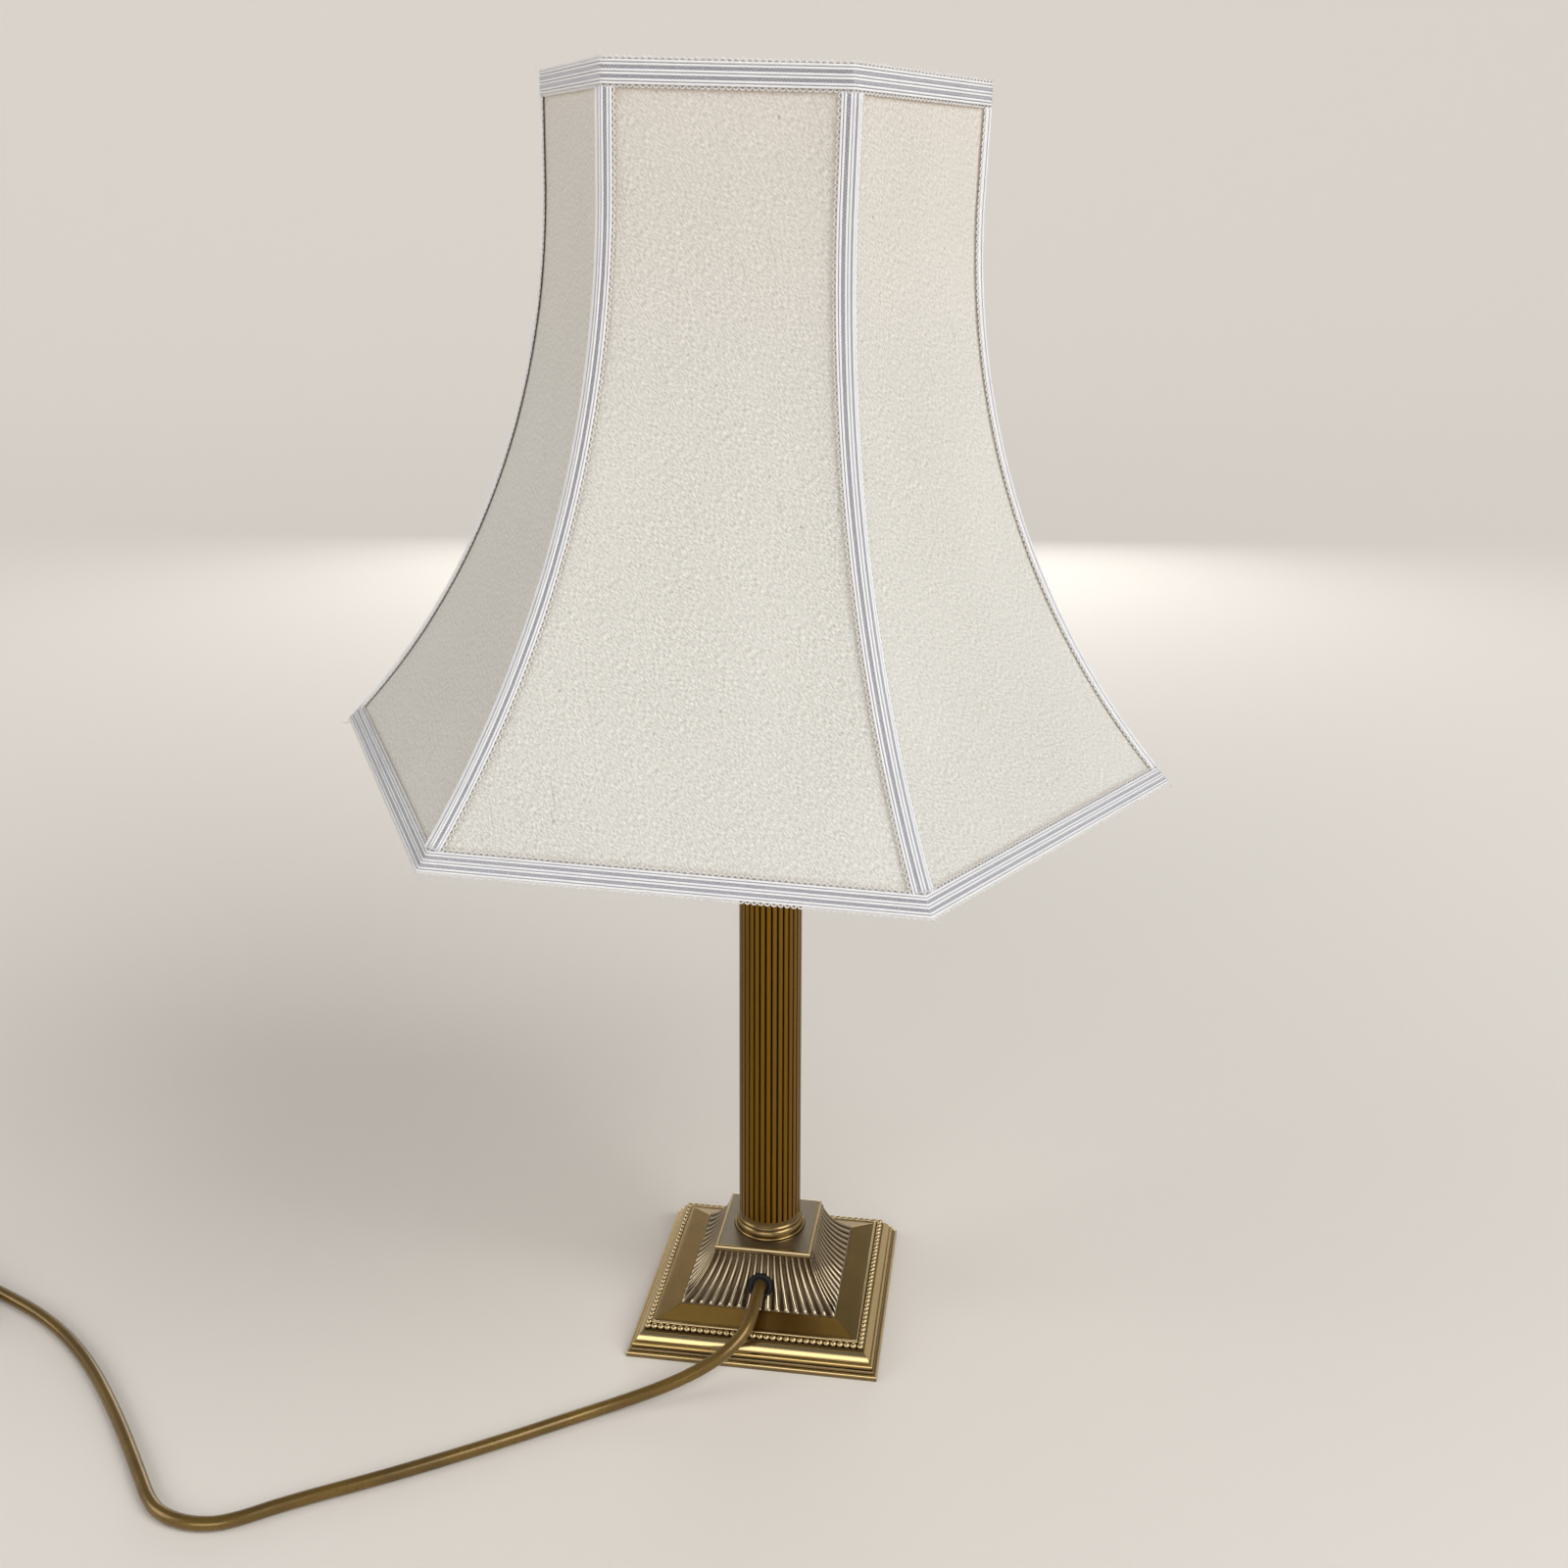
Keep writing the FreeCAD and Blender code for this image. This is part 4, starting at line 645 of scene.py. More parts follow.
# ================================================================ column
def column_shaft():
    """Rounded reeds with narrow dark grooves between them, on a bored shaft that tapers."""
    per_reed = 12
    around = column_reeds * per_reed
    heights = [reed_start_z, reed_start_z + 0.6, *np.linspace(64, 325, 10), column_top_z]
    phase = (np.arange(around) / per_reed) % 1.0
    away = np.minimum(phase, 1 - phase)
    half_groove = groove_share / 2
    rise = np.clip((away - half_groove) / (0.5 - half_groove), 0, 1)
    round_top = np.sqrt(np.clip(1 - (1 - rise) ** 2, 0, 1))
    groove = np.clip(1 - (away / half_groove) ** 2, 0, 1)
    edge_depth = 0.55
    depth = np.where(away < half_groove, groove_depth * (edge_depth + (1 - edge_depth) * groove),
                     groove_depth * edge_depth * (1 - round_top))
    worn = np.where(away < half_groove, 0.0, 0.25 + 0.75 * round_top)
    angle = tau * np.arange(around) / around
    rings, wear = [], []
    for z in heights:
        share = (z - reed_start_z) / (column_top_z - reed_start_z)
        rings.append((column_r_foot + (column_r_top - column_r_foot) * share - depth, z))
        wear.append(worn)
    for z in (column_top_z, reed_start_z):
        rings.append((column_bore_r, z))
        wear.append(np.full(around, 0.2))
    points = [np.stack([r * np.cos(angle), r * np.sin(angle), np.full(around, z)], axis=1)
              for r, z in rings]
    faces = grid_faces(len(rings), around, close_rows=True, close_columns=True)
    piece("column_reeded", np.concatenate(points), faces, "column_brass_and_shade", "stand", "brass",
          ("column_shaft",), sharp=50, wear=np.concatenate(wear))


def column_collar():
    """Narrow bright ring on a dark foot, a low torus and a small one under the reeds."""
    rows = mouldings([
        ((0.2,), 0, [(rod_hole_r, 44.4)]),
        ((0.1,), 0, [(19.3, 44.4)]),
        ((0.12,), 0, [(19.2, 44.5), (18.8, 44.8), (18.7, 45.6)]),
        ((0.85,), 4, [(18.7, 45.6), (18.6, 45.95), (18.25, 46.1)]),
        ((0.1,), 0, [(17.9, 46.1), (17.65, 46.3)]),
        ((0.4,), 10, [(17.65, 46.3), (17.95, 47.9), (17.25, 49.5)]),
        ((0.08,), 0, [(17.0, 49.7), (16.85, 50.0)]),
        ((0.38,), 5, [(16.85, 50.0), (17.15, 50.8), (16.7, 51.5)]),
        ((0.22,), 0, [(16.5, 51.7), (16.3, 52.0), (16.25, reed_start_z - 0.5),
                      (16.2, reed_start_z)]),
        ((0.2,), 0, [(column_bore_r - 0.05, reed_start_z), (column_bore_r - 0.05, 56.4),
                     (rod_hole_r, 56.4)]),
    ])
    turned("column_foot", [row[:2] for row in rows], 96, "base_brass", "stand", "brass",
           ("column_collar",), [row[2] for row in rows], silver=0.25, sharp=40)


# ================================================================ shade
def lean_matrix():
    turn = (Matrix.Rotation(radians(lean_about_y), 4, "Y")
            @ Matrix.Rotation(radians(lean_about_x), 4, "X"))
    pivot = Matrix.Translation((0, 0, lean_pivot_z))
    return Matrix.Translation(shade_shift) @ pivot @ turn @ pivot.inverted()


LEAN = np.array(lean_matrix())
# half the width of one of six sides, over its distance from the axis
half_side = tan(pi / 6)


def leaned(points):
    points = np.asarray(points, dtype=float)
    return points @ LEAN[:3, :3].T + LEAN[:3, 3]


def on_bow(offset, z):
    """How far a side lies from the axis at a height, straight above and bowed below."""
    z = np.asarray(z, dtype=float)
    low = np.minimum(z, bow_start_z) - bow_start_z
    return np.where(z >= bow_start_z, shade_top_half - offset,
                    shade_top_half + bow_r - np.sqrt((bow_r + offset) ** 2 - low**2))


def along_bow(count, bottom, top):
    """Heights evenly spread along the bowed line, and the line's length."""
    fine = np.linspace(bottom, top, 2000)
    step = np.hypot(np.diff(fine), np.diff(on_bow(0, fine)))
    length = np.concatenate([[0], np.cumsum(step)])
    return np.interp(np.linspace(0, length[-1], count), length, fine), length[-1]


def side_ways(index):
    """Outward and sideways unit vectors of one side."""
    angle = radians(30 + 60 * index)
    return (np.array([cos(angle), sin(angle), 0.0]),
            np.array([-sin(angle), cos(angle), 0.0]))


def skin(name, sides, outer, inner, bottom, top, material, slot, replaces, rows, columns):
    """Fabric between two offsets, as a thin closed sheet over one side or all six."""
    heights, length = along_bow(rows, bottom, top)
    share = np.linspace(-1, 1, columns)
    # how much of the cloth the braids cover at its sides, top and bottom
    corner_braid, top_braid, bottom_braid = 5.0, braid_w, braid_w * 0.68
    rim = (list(range(columns)) + [i * columns + columns - 1 for i in range(1, rows)]
           + [(rows - 1) * columns + i for i in range(columns - 2, -1, -1)]
           + [i * columns for i in range(rows - 2, 0, -1)])
    points, faces, uvs, edges = [], [], [], []
    for index in sides:
        out, along = side_ways(index)
        a = len(points) * columns
        b = a + rows * columns
        for offset in (outer, inner):
            half = on_bow(offset, heights)
            reach = half * half_side
            sheet = grid_faces(rows, columns, len(points) * columns)
            faces += sheet if offset == outer else [f[::-1] for f in sheet]
            for i in range(rows):
                away = np.full(columns, half[i])
                if outer == 0.0:
                    # the silk is drawn in a little between the struts, and ripples
                    away -= 0.35 * np.cos(share * pi / 2)
                    away -= 0.05 * np.sin(share * 23 + heights[i] * 0.11 + index)
                row = out[None, :] * away[:, None] + along[None, :] * (share * reach[i])[:, None]
                row[:, 2] = heights[i]
                points.append(row)
                uvs.append(np.stack([share * reach[i] * MM + index * 0.31,
                                     np.full(columns, length * i / (rows - 1) * MM)], axis=1))
                # distance from the nearest braid, for the silk's glue line and painted shadow
                # beside it
                level = min(top - top_braid - heights[i], heights[i] - bottom - bottom_braid)
                edges.append(np.minimum((1 - np.abs(share)) * reach[i] - corner_braid, level))
        faces += [(a + q, a + p, b + p, b + q) for p, q in zip(rim, rim[1:] + rim[:1])]
    made = piece(name, leaned(np.concatenate(points)), faces, material, "shade", slot, replaces,
                 uvs=np.concatenate(uvs), welded=0.01, sharp=40, edge=np.concatenate(edges))


# ================================================================ braid
def ring_line(middle_z, count):
    """The band round one edge: a function from (station, across, height) to a point."""
    stations = [(index, share) for index in range(6)
                for share in np.linspace(-1, 1, count, endpoint=False)]
    slope = float(on_bow(0, middle_z + 0.5) - on_bow(0, middle_z - 0.5))
    stretch = hypot(1, slope)

    def at(station, across, height):
        index, share = stations[station % len(stations)]
        out, along = side_ways(index)
        z = middle_z + across / stretch
        half = float(on_bow(-height, z))
        point = out * half + along * (share * (half * half_side))
        point[2] = z
        return point

    return at, len(stations)


def gimp(name, at, stations, closed, replaces):
    """Gimp braid: woven ground, three cords of two plies, zigzag rungs and picot edges."""
    count = stations + 1 if closed else stations
    per_station = 2.6
    ground_low, ground_high, ground_half, middle_half = 0.1, 0.5, 4.1, 1.2
    cord_apart, ply_offset, ply_height, ply_r = 3.35, 0.6, 0.78, 0.47
    rung_near, rung_far, rung_height, rung_step, rung_r = 1.0, 2.35, 0.62, 0.66, 0.3
    picot_foot, picot_tip, picot_height, picot_r = 4.25, 5.5, 0.5, 0.33

    def line(across, height):
        return leaned([at(i, across, height) for i in range(count)])

    def up(across, height):
        return line(across, height + 1.0) - line(across, height)

    def spaced(points, where):
        index = np.arange(count)
        return np.stack([np.interp(where, index, points[:, k]) for k in range(3)], axis=1)

    def thread(paths, radius, sides, part, kind):
        points, faces, uvs = swept(paths, radius, sides)
        piece(name + part, points, faces, kind, "shade", "braid", replaces, uvs=uvs)

    plies = [(line(across, ply_height), up(across, ply_height))
             for middle in (-cord_apart, 0.0, cord_apart)
             for across in (middle - ply_offset, middle + ply_offset)]
    thread(plies, ply_r, 7, "_cords", "braid_cord")

    rungs = []
    where = np.linspace(0, count - 1, int((count - 1) * per_station / rung_step) + 1)
    odd = (np.arange(len(where)) % 2)[:, None]
    for low, high in ((-rung_far, -rung_near), (rung_near, rung_far)):
        first, second = (spaced(line(across, rung_height), where) for across in (low, high))
        rungs.append((first * (1 - odd) + second * odd,
                      spaced(up((low + high) / 2, rung_height), where)))
    thread(rungs, rung_r, 4, "_rungs", "braid_row")

    picots = []
    where = np.linspace(0, count - 1, (count - 1) * 6 + 1)
    scallop = (np.abs(np.sin(pi * where)) ** 0.8)[:, None]
    for edge in (-1, 1):
        inner, outer = (spaced(line(edge * across, picot_height), where)
                        for across in (picot_foot, picot_tip))
        picots.append((inner * (1 - scallop) + outer * scallop,
                       spaced(up(edge * 4.6, picot_height), where)))
    thread(picots, picot_r, 5, "_picots", "picot")

    acrosses = [-ground_half, -middle_half, 0, middle_half, ground_half]
    section = ([(across, ground_low) for across in acrosses]
               + [(across, ground_high) for across in acrosses[::-1]])
    points = np.concatenate([line(*corner) for corner in section])
    along = np.arange(count) * per_station * MM
    uvs = np.concatenate([np.stack([along, np.full(count, across * MM)], axis=1)
                          for across, _ in section])
    faces = grid_faces(len(section), count, close_rows=True)
    if not closed:
        faces.append([k * count for k in range(len(section))])
        faces.append([k * count + count - 1 for k in range(len(section))][::-1])
    piece(name + "_ground", points, faces, "tape", "shade", "braid", replaces, uvs=uvs,
          welded=0.01, sharp=40)


top_band = (shade_top_z - braid_w / 2, 38)
bottom_band = (shade_bottom_z + bottom_braid_w / 2, 79)


def loose_threads():
    """Frayed ends that stick out at the corners of the top and bottom braids."""
    paths = []
    edge, height, steps = 4.2, 0.7, 9
    for (middle_z, count), down, reach in ((bottom_band, 1, 5.5), (top_band, -1, 3.5)):
        at = ring_line(middle_z, count)[0]
        for corner in range(6):
            start = corner * count
            out = at(start, -edge * down, height + 1.0) - at(start, -edge * down, height)
            for k in range(4):
                seed = corner * 7.3 + k * 2.1 + middle_z
                foot = at(start + k % 2, -edge * down, height)
                way = out * 0.5 + np.array([sin(seed), cos(seed * 1.7), -1.1 * down])
                side = np.cross(way, out)
                span = reach * (0.45 + 0.55 * abs(sin(seed * 3.1)))
                t = np.linspace(0, 1, steps)[:, None]
                path = (foot + way * span * t / np.linalg.norm(way)
                        + side * span * 0.22 * np.sin(t * (3 + k)) + out * 0.5 * t**2)
                paths.append((leaned(path), np.repeat([side @ LEAN[:3, :3].T], steps, axis=0)))
    points, faces, uvs = swept(paths, 0.10, 4)
    piece("loose_threads", points, faces, "picot", "shade", "braid", uvs=uvs)


def strut_line(index, bottom, top, count):
    """The band folded over one corner, between sides index - 1 and index."""
    # the band is stiff: it takes only a share of the corner's fold, within this of its middle
    fold, fold_half = 0.75, 1.6
    heights = along_bow(count, bottom, top)[0]
    right_out, right_along = side_ways(index)
    left_out, left_along = side_ways(index - 1)
    half = on_bow(0, heights)
    line = (right_out[None, :] * half[:, None]
            - right_along[None, :] * (half * half_side)[:, None])
    line[:, 2] = heights
    tangent = unit(np.gradient(line, axis=0))
    low = np.minimum(heights, bow_start_z) - bow_start_z
    left, right = (np.stack([out[0] * np.sqrt(1 - (low / bow_r) ** 2),
                             out[1] * np.sqrt(1 - (low / bow_r) ** 2), -low / bow_r], axis=1)
                   for out in (left_out, right_out))

    def normal(i, lean):
        share = 0.5 + 0.5 * fold * lean
        return left[i] * (1 - share) + right[i] * share

    def at(i, across, height):
        up = normal(i, max(-1.0, min(1.0, across / fold_half)))
        sideways = np.cross(normal(i, 1 if across >= 0 else -1), tangent[i])
        sideways /= np.linalg.norm(sideways)
        if np.dot(sideways, right_along if across >= 0 else left_along) < 0:
            sideways = -sideways
        return line[i] + sideways * across + up / np.linalg.norm(up) * height

    return at, count


# ================================================================ cord
# in metres, from the bush to the coil
cord_route = [
    (0.0, -0.0485, 0.0292), (-0.0003, -0.0602, 0.0268), (-0.0042, -0.0712, 0.0224),
    (-0.0138, -0.0812, 0.0169), (-0.0303, -0.0904, 0.0102), (-0.0515, -0.1009, 0.0054),
    (-0.0763, -0.1152, 0.0033), (-0.1100, -0.1393, 0.0033), (-0.1520, -0.1670, 0.0033),
    (-0.1923, -0.1906, 0.0033), (-0.2125, -0.2055, 0.0033), (-0.2260, -0.2091, 0.0033),
    (-0.2399, -0.2078, 0.0033), (-0.2525, -0.2017, 0.0033), (-0.2684, -0.1836, 0.0033),
    (-0.2994, -0.1493, 0.0033), (-0.3364, -0.1132, 0.0033), (-0.3730, -0.0876, 0.0037),
    (-0.4142, -0.0702, 0.0044),
]
coil_x, coil_y, coil_z = -463.0, -100.0, 4.4
coil_mean_r = 35.35
coil_turns = 5.4
coil_pitch = 7.0
coil_start = 68.3
coil_steps = 20
coil_tail = 20.0


def coil_line(t):
    """The coil's centre line and its direction after t turns: inwards, then outwards on top."""
    half = coil_turns / 2
    r = coil_mean_r - coil_pitch * coil_turns / 4 + coil_pitch * abs(t - half)
    climb = min(max((t - half + 0.25) / 0.5, 0.0), 1.0)
    z = coil_z + coil_pitch * climb**2 * (3 - 2 * climb)
    angle = radians(coil_start) + tau * t
    outward = Vector((cos(angle), sin(angle), 0))
    forward = Vector((-sin(angle), cos(angle), 0))
    way = outward * copysign(coil_pitch, t - half) + forward * (tau * r)
    return Vector((coil_x, coil_y, z)) + outward * r, way.normalized()


coil_first, coil_first_way = coil_line(0.0)
coil_last, coil_last_way = coil_line(coil_turns)
plug_entry = coil_last + coil_last_way * coil_tail
plug_heading = atan2(coil_last_way.y, coil_last_way.x)


def pyramid_face(z):
    """Half the pyramid's side at a height, and its normal there as (out, up)."""
    halves, heights = np.array(pyramid_line(200)).T
    below, half, above = (float(np.interp(at, heights, halves)) for at in (z - 0.1, z, z + 0.1))
    slope = (above - below) / 0.2
    length = hypot(1, slope)
    return half, (1 / length, -slope / length)


gland_half, gland_normal = pyramid_face(gland_z)
cord_out = Vector((0, -cos(radians(exit_rise)), sin(radians(exit_rise))))
cord_exit = Vector((0, -gland_half, gland_z)) + cord_out * exit_reach


def flex():
    """The sheathed cord from the bush along the table and round the coil to the plug."""
    steps = ceil(coil_turns * coil_steps)
    turns = [coil_line(coil_turns * i / steps)[0] for i in range(steps + 1)]
    points = [tuple(cord_exit * MM)] + cord_route
    coil = [coil_first - coil_first_way * 2 * cord_r, *turns, plug_entry]
    points += [tuple(p * MM) for p in coil]
    curve = bpy.data.curves.new("flex", "CURVE")
    curve.dimensions = "3D"
    spline = curve.splines.new("NURBS")
    spline.points.add(len(points) - 1)
    for target, point in zip(spline.points, points):
        target.co = (*point, 1.0)
    spline.order_u = 3
    spline.use_endpoint_u = True
    curve.resolution_u = 8
    curve.bevel_depth = cord_r * MM
    curve.bevel_resolution = 6
    curve.use_fill_caps = True
    curve.materials.append(materials["flex"])
    made = linked("flex", curve)
    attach(made, "stand")
    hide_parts("cord_run", "cord_coil")
    return made


def coil_straps():
    """Two flat straps round the bundle of turns, rounded at its corners."""
    beside, under, over, corner = 3.95, 3.7, 3.9, 3.8
    half_width, half_thick, bevel = 3.4, 0.4, 0.05
    half_span = coil_pitch * coil_turns / 4
    inner_r = coil_mean_r - half_span - beside + corner
    outer_r = coil_mean_r + half_span + beside - corner
    low_z, high_z = coil_z - under + corner, coil_z + coil_pitch + over - corner
    loop = []
    for r, z, first in ((outer_r, low_z, -90), (outer_r, high_z, 0), (inner_r, high_z, 90),
                        (inner_r, low_z, 180)):
        for i in range(9):
            angle = radians(first + 90 * i / 8)
            loop.append((r, z, cos(angle), sin(angle)))
    face, flank = half_width - 0.2, half_thick - bevel
    section = [(-half_width, -flank), (-face, -half_thick), (face, -half_thick),
               (half_width, -flank), (half_width, flank), (face, half_thick),
               (-face, half_thick), (-half_width, flank)]
    points, faces = [], []
    for degrees in (150.0, 330.0):
        c, s = cos(radians(degrees)), sin(radians(degrees))
        start = len(points)
        for r, z, out, up in loop:
            for across, lift in section:
                away = r + out * (corner + lift)
                points.append((coil_x + away * c - across * s, coil_y + away * s + across * c,
                               z + up * (corner + lift)))
        faces += grid_faces(len(loop), len(section), start, close_rows=True, close_columns=True)
    return piece("coil_straps", points, faces, "tie", "stand", "tie", ("coil_ties",),
                 welded=0.01, sharp=50)


# ================================================================ plug
relief_len = 26.0
plug_h = 21.0
plug_corners = [(0, -11), (16, -24.5), (36, -24.5), (42, -18.5), (42, 18.5), (36, 24.5),
                (16, 24.5), (0, 11)]
# height and inset of each row of the shell
plug_rows = [(0.0, 3.4), (0.35, 2.0), (1.1, 0.9), (2.2, 0.25), (3.6, 0.0), (5.0, 0.0),
             (16.0, 0.0), (17.6, 0.05), (19.2, 0.35), (20.3, 0.9), (20.85, 1.7), (plug_h, 2.6)]
grip_from, grip_to, grip_pitch, grip_depth = 18, 36, 3, 0.7
fuse_from, fuse_to, fuse_half, fuse_depth = 14.0, 21.5, 12.0, 1.6


def on_plug(points):
    """From the plug's own frame, cord entry at the origin and +X ahead, to the coil's end."""
    turn = Matrix.Rotation(plug_heading, 3, "Z")
    place = Vector((plug_entry.x, plug_entry.y, 0))
    return np.array([turn @ Vector(point) + place for point in points])


def plug_shell():
    """Moulded plug lying on its back: rounded outline, grip grooves and the fuse's pocket."""
    ring = np.array(plug_corners, dtype=float)
    for share in (0.25, 0.28, 0.3, 0.3):
        after = np.roll(ring, -1, axis=0)
        ring = np.stack([ring * (1 - share) + after * share, ring * share + after * (1 - share)],
                        axis=1).reshape(-1, 2)
    closed = np.vstack([ring, ring[:1]])
    length = np.concatenate([[0], np.cumsum(np.linalg.norm(np.diff(closed, axis=0), axis=1))])
    where = np.linspace(0, length[-1], 241)[:-1]
    ring = np.stack([np.interp(where, length, closed[:, k]) for k in range(2)], axis=1)
    tangent = np.roll(ring, -1, axis=0) - np.roll(ring, 1, axis=0)
    inward = unit(np.stack([-tangent[:, 1], tangent[:, 0]], axis=1))
    if np.dot(inward[0], ring.mean(axis=0) - ring[0]) < 0:
        inward = -inward
    x, y = ring.T
    grip = np.where((np.abs(y) > 20) & (x > grip_from) & (x < grip_to), grip_depth
                    * np.clip(np.sin((x - grip_from) * tau / grip_pitch), 0, 1), 0.0)
    points = []
    for z, inset in plug_rows:
        groove = grip if 4.0 < z < 16.5 else 0.0 * grip
        flat = ring + inward * (inset + groove)[:, None]
        points += [(relief_len + ahead, aside, z) for ahead, aside in flat]
    around = len(ring)
    faces = grid_faces(len(plug_rows), around, close_columns=True)
    faces.append(list(range(around))[::-1])
    faces.append([(len(plug_rows) - 1) * around + k for k in range(around)])
    made = piece("plug_shell", on_plug(points), faces, "black", "stand", "black_moulding",
                 ("plug_body",), welded=0.01)

    pocket = [(x, y, z) for x in (relief_len + fuse_from, relief_len + fuse_to)
              for y in (-fuse_half, fuse_half) for z in (plug_h - fuse_depth, plug_h + 1.0)]
    box = [(0, 1, 3, 2), (4, 6, 7, 5), (0, 4, 5, 1), (2, 3, 7, 6), (0, 2, 6, 4), (1, 5, 7, 3)]
    mesh = bpy.data.meshes.new("pocket")
    mesh.from_pydata([tuple(p * MM) for p in on_plug(pocket)], [], box)
    cutter = linked("pocket", mesh)
    made.modifiers.new("pocket", "BOOLEAN").object = cutter
    bpy.context.view_layer.update()
    made.data = bpy.data.meshes.new_from_object(
        made.evaluated_get(bpy.context.evaluated_depsgraph_get()))
    made.modifiers.clear()
    bpy.data.objects.remove(cutter)
    sharp_by_angle(made, 40)
    return made


def plug_relief():
    """Ribbed strain relief that tapers from the plug down to the cord."""
    rib, gap, groove_in, chamfer = 1.9, 1.3, 0.6, 0.15
    line = [(0.0, 0.0)]
    x = 0.0
    while x < relief_len - 1.0:
        r = cord_r + 1.15 + 1.2 * x / relief_len
        line += [(r - chamfer, x), (r, x + 0.2), (r, x + rib - 0.2), (r - chamfer, x + rib),
                 (r - groove_in, x + rib + 0.05), (r - groove_in, x + rib + gap - 0.05)]
        x += rib + gap
    line += [(cord_r + 2.35, relief_len), (cord_r + 2.35, relief_len + 1.5),
             (0.0, relief_len + 1.5)]
    place = (Matrix.Translation(plug_entry) @ Matrix.Rotation(plug_heading, 4, "Z")
             @ Matrix.Rotation(pi / 2, 4, "Y"))
    return turned("plug_relief", line, 32, "black", "stand", "black_moulding", ("plug_body",),
                  axis=place, welded=0.01, sharp=40)


# ================================================================ lampholder and bulb
def bulb_envelope():
    """Opal globe on a tapered neck."""
    foot_z, centre_z, r, neck_r = 416.0, 459.0, 30.0, 13.0
    touch = radians(-35)
    ball = [(r * cos(a), centre_z + r * sin(a))
            for a in np.linspace(touch, pi / 2, 28)]
    slope = [(neck_r + (ball[0][0] - neck_r) * t**1.25, foot_z + (ball[0][1] - foot_z) * t)
             for t in np.linspace(0, 0.92, 9)]
    line = [(0.0, foot_z)] + slope + ball[:-1] + [(0.0, centre_z + r)]
    turned("bulb_envelope", line, 64, "glass", "bulb", "opal_glass", ("bulb_glass",),
           welded=0.01, sharp=50)


def holder_dome():
    """Cap of the lampholder: a neck on the rod, a domed shoulder and a milled rim."""
    neck_r, holder_r, low, joint = 8.0, 19.0, 343.0, 368.0
    rib_pitch, rib_depth = 1.6, 0.35
    line = [(rod_hole_r, low), (neck_r - 0.4, low), (neck_r, low + 0.4), (neck_r, low + 4.6)]
    line += arc((neck_r, low + 4.6), (neck_r + 0.6, low + 5.6), (neck_r + 1.8, low + 6.2), 4)
    line += arc((neck_r + 1.8, low + 6.2), (holder_r - 3.0, low + 8.6),
                (holder_r, low + 12.6), 10)
    for z in np.arange(low + 14.0, joint - 1.5, rib_pitch):
        line += [(holder_r, z), (holder_r - rib_depth, z + 0.4), (holder_r, z + 0.8)]
    line += [(holder_r, joint), (holder_r - 1.6, joint), (holder_r - 1.6, low + 13.0),
             (neck_r, low + 6.6), (rod_hole_r, low + 6.6)]
    turned("holder_dome", line, 72, "column_brass_and_shade", "stand", "brass", ("lampholder_cap",),
           sharp=35)


# ================================================================ gland
def gland():
    """Black bush in the pyramid's face: rounded flange, dark bore."""
    out, up = gland_normal
    ahead, aside = Vector((0, -out, up)), Vector((1, 0, 0))
    turn = Matrix((aside, ahead.cross(aside), ahead)).transposed().to_4x4()
    place = Matrix.Translation((0, -gland_half, gland_z)) @ turn
    flange_r, barrel_r, crown_r, bore_r = gland_flange_r, 6.2, 5.6, 4.0
    profile = [(0.0, -5.0), (barrel_r, -5.0), (barrel_r, -0.3), (flange_r, -0.3),
               (flange_r, 0.7)]
    profile += arc((flange_r, 0.7), (flange_r - 0.5, 1.5), (crown_r, 1.75), 6)
    profile += arc((crown_r, 1.75), (crown_r - 1.0, 1.6), (bore_r, 1.2), 6)
    profile += [(bore_r - 0.1, 1.12), (0.0, 1.1)]
    turned("cord_bush", profile, 40, "bush", "stand", "black_moulding", ("cord_gland",),
           axis=place, welded=0.01, sharp=60)


# ================================================================ building
base_casting()
bead_row()
column_shaft()
column_collar()
for i in range(6):
    skin("silk_panel_" + str(i + 1), [i], 0.0, 0.9, shade_bottom_z + 0.4, shade_top_z - 0.4,
         "silk", "shade_fabric", ("shade_panel_" + str(i + 1),), 60, 33)
skin("cloth_lining", list(range(6)), 4.6, 5.2, shade_bottom_z + 4, shade_top_z - 7,
     "lining", "lining_fabric", ("shade_lining",), 30, 17)
gimp("top_gimp", *ring_line(*top_band), True, ("top_braid",))
gimp("bottom_gimp", *ring_line(*bottom_band), True, ("bottom_braid",))
for i in range(6):
    band = strut_line(i, shade_bottom_z + bottom_braid_w, shade_top_z - braid_w, 122)
    gimp("strut_gimp_" + str(i + 1), *band, False, ("strut_braids",))
loose_threads()
cord = flex()
gland()
shell, relief, straps = plug_shell(), plug_relief(), coil_straps()
bulb_envelope()
holder_dome()

# CAD nodes that are shown as they are
node_materials = {
    "felt": "base_felt",
    "iron": "base_weight",
    "plated": "base_plate plate_screws threaded_rod rod_washer rod_nut earth_terminal "
              "plunger_spring_left plunger_spring_right carrier_seat carrier_arm_1 "
              "carrier_arm_2 carrier_arm_3 carrier_ring shade_frame shade_spider",
    "brass": "column_capital lampholder_barrel terminal_screws contact_plunger_left "
             "contact_plunger_right bulb_cap bulb_pins shade_ring_nut plug_pins",
    "black": "lampholder_insert switch_bar cord_clamp plug_fuse_cover",
    "solder": "bulb_contacts",
    "flex": "cord_tail",
    "brown": "core_live",
    "blue": "core_neutral",
    "striped": "core_earth",
}
for kind, nodes in node_materials.items():
    for node in nodes.split():
        node_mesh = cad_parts[node].data
        node_mesh.materials.clear()
        node_mesh.materials.append(materials[kind])


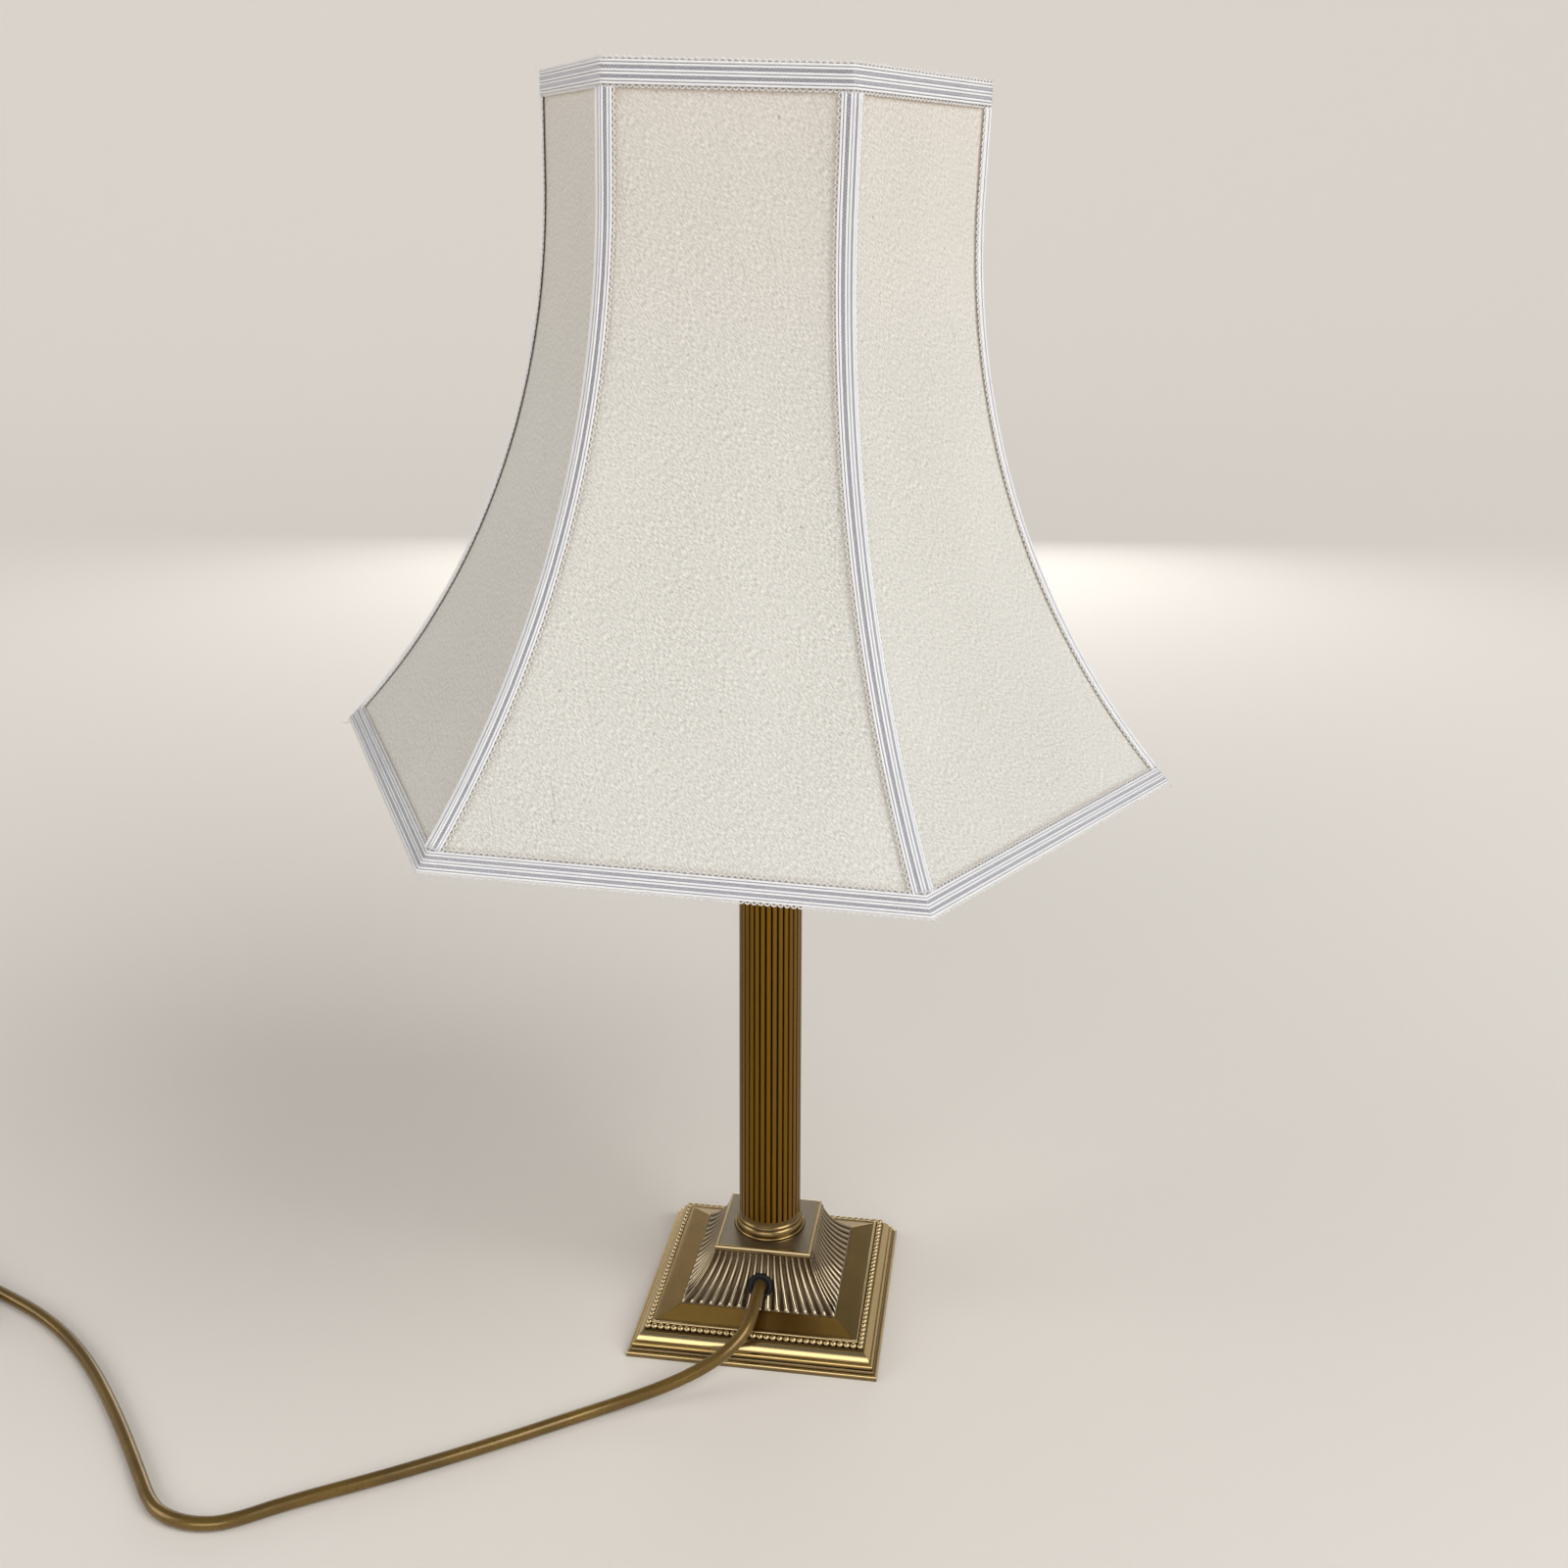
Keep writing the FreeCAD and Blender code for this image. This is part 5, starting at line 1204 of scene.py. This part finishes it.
# ================================================================ floor, light and camera
def floor_material():
    """Pale, and brighter with distance where it is seen itself or in metal and glass."""
    g = Graph("floor")
    pale = (*srgb(238, 232, 224), 1)
    half_bright, brightest = 1.6, 0.55
    away = g.node("ShaderNodeVectorMath", {0: g.place()}, operation="LENGTH").outputs["Value"]
    far = g.math("POWER", g.math("DIVIDE", away, half_bright), 2.0)
    far = g.math("DIVIDE", far, g.math("ADD", far, 1.0))
    ray = g.node("ShaderNodeLightPath").outputs
    seen = g.math("MAXIMUM", ray["Is Camera Ray"],
                  g.math("MAXIMUM", ray["Is Glossy Ray"], ray["Is Transmission Ray"]))
    glow = g.math("MULTIPLY", g.math("MULTIPLY", far, seen), brightest)
    return g.shaded({"Base Color": pale, "Roughness": 0.8, "Emission Color": pale,
                     "Emission Strength": glow})


def stage_floor():
    """A pale floor that curves up far away into a backdrop all round, in metres."""
    flat_r, bend_r, wall_top, around = 6.0, 2.5, 5.0, 96
    wall_r, diagonal = flat_r + bend_r, pi / 4
    line = [(flat_r * 0.5, 0.0), (flat_r, 0.0)]
    line += arc((flat_r, 0.0), (flat_r + bend_r * sin(diagonal),
                                bend_r * (1 - cos(diagonal))), (wall_r, bend_r), 16)
    line.append((wall_r, wall_top))
    points = [(0.0, 0.0, 0.0)]
    for r, z in line:
        for k in range(around):
            angle = tau * k / around
            points.append((r * cos(angle), r * sin(angle), z))
    faces = [(0, 1 + k, 1 + (k + 1) % around) for k in range(around)]
    faces += [face[::-1] for face in grid_faces(len(line), around, 1, close_columns=True)]
    mesh = bpy.data.meshes.new("floor")
    mesh.from_pydata(points, [], faces)
    mesh.polygons.foreach_set("use_smooth", [True] * len(mesh.polygons))
    mesh.materials.append(floor_material())
    linked("floor", mesh)


stage_floor()
white = (1, 1, 1)
for name, place, aim_z, size, power, colour in (
        ("key", (1.85, -0.95, 1.95), 0.35, (1.8, 1.8), 45, white),
        ("window", (-0.3, -2.7, 1.25), 0.15, (2.0, 1.3), 19, white),
        ("fill", (-1.9, -0.7, 1.2), 0.35, (1.2, 1.2), 11, (1.0, 0.975, 0.95)),
        ("back", (-0.3, 2.3, 0.7), 0.3, (1.4, 0.9), 9, white)):
    light = bpy.data.lights.new(name, "AREA")
    light.shape = "RECTANGLE"
    light.size, light.size_y = size
    light.energy = power
    light.color = colour
    lamp = linked(name, light)
    lamp.location = place
    aim = Vector((0, 0, aim_z)) - Vector(place)
    lamp.rotation_euler = aim.to_track_quat("-Z", "Y").to_euler()

world = bpy.data.worlds.new("studio")
bpy.context.scene.world = world
world.use_nodes = True
background = world.node_tree.nodes["Background"]
background.inputs["Color"].default_value = (0.93, 0.94, 0.97, 1)
background.inputs["Strength"].default_value = 0.25

# fitted to the photograph
focal_px, frame_px = 1613.83, 1600
camera_place = (0.11299, -0.72980, 0.54284)
camera_turn, camera_dip, camera_roll = 8.302, 18.534, 0.309

camera_data = bpy.data.cameras.new("camera")
camera_data.sensor_width = 36.0
camera_data.lens = focal_px / frame_px * 36.0
camera_data.clip_start = 0.02
camera = linked("camera", camera_data)
camera.matrix_world = (Matrix.Translation(camera_place)
                       @ Matrix.Rotation(radians(camera_turn), 4, "Z")
                       @ Matrix.Rotation(radians(90 - camera_dip), 4, "X")
                       @ Matrix.Rotation(radians(camera_roll), 4, "Z"))
bpy.context.scene.camera = camera
bpy.context.scene.view_settings.view_transform = "Standard"
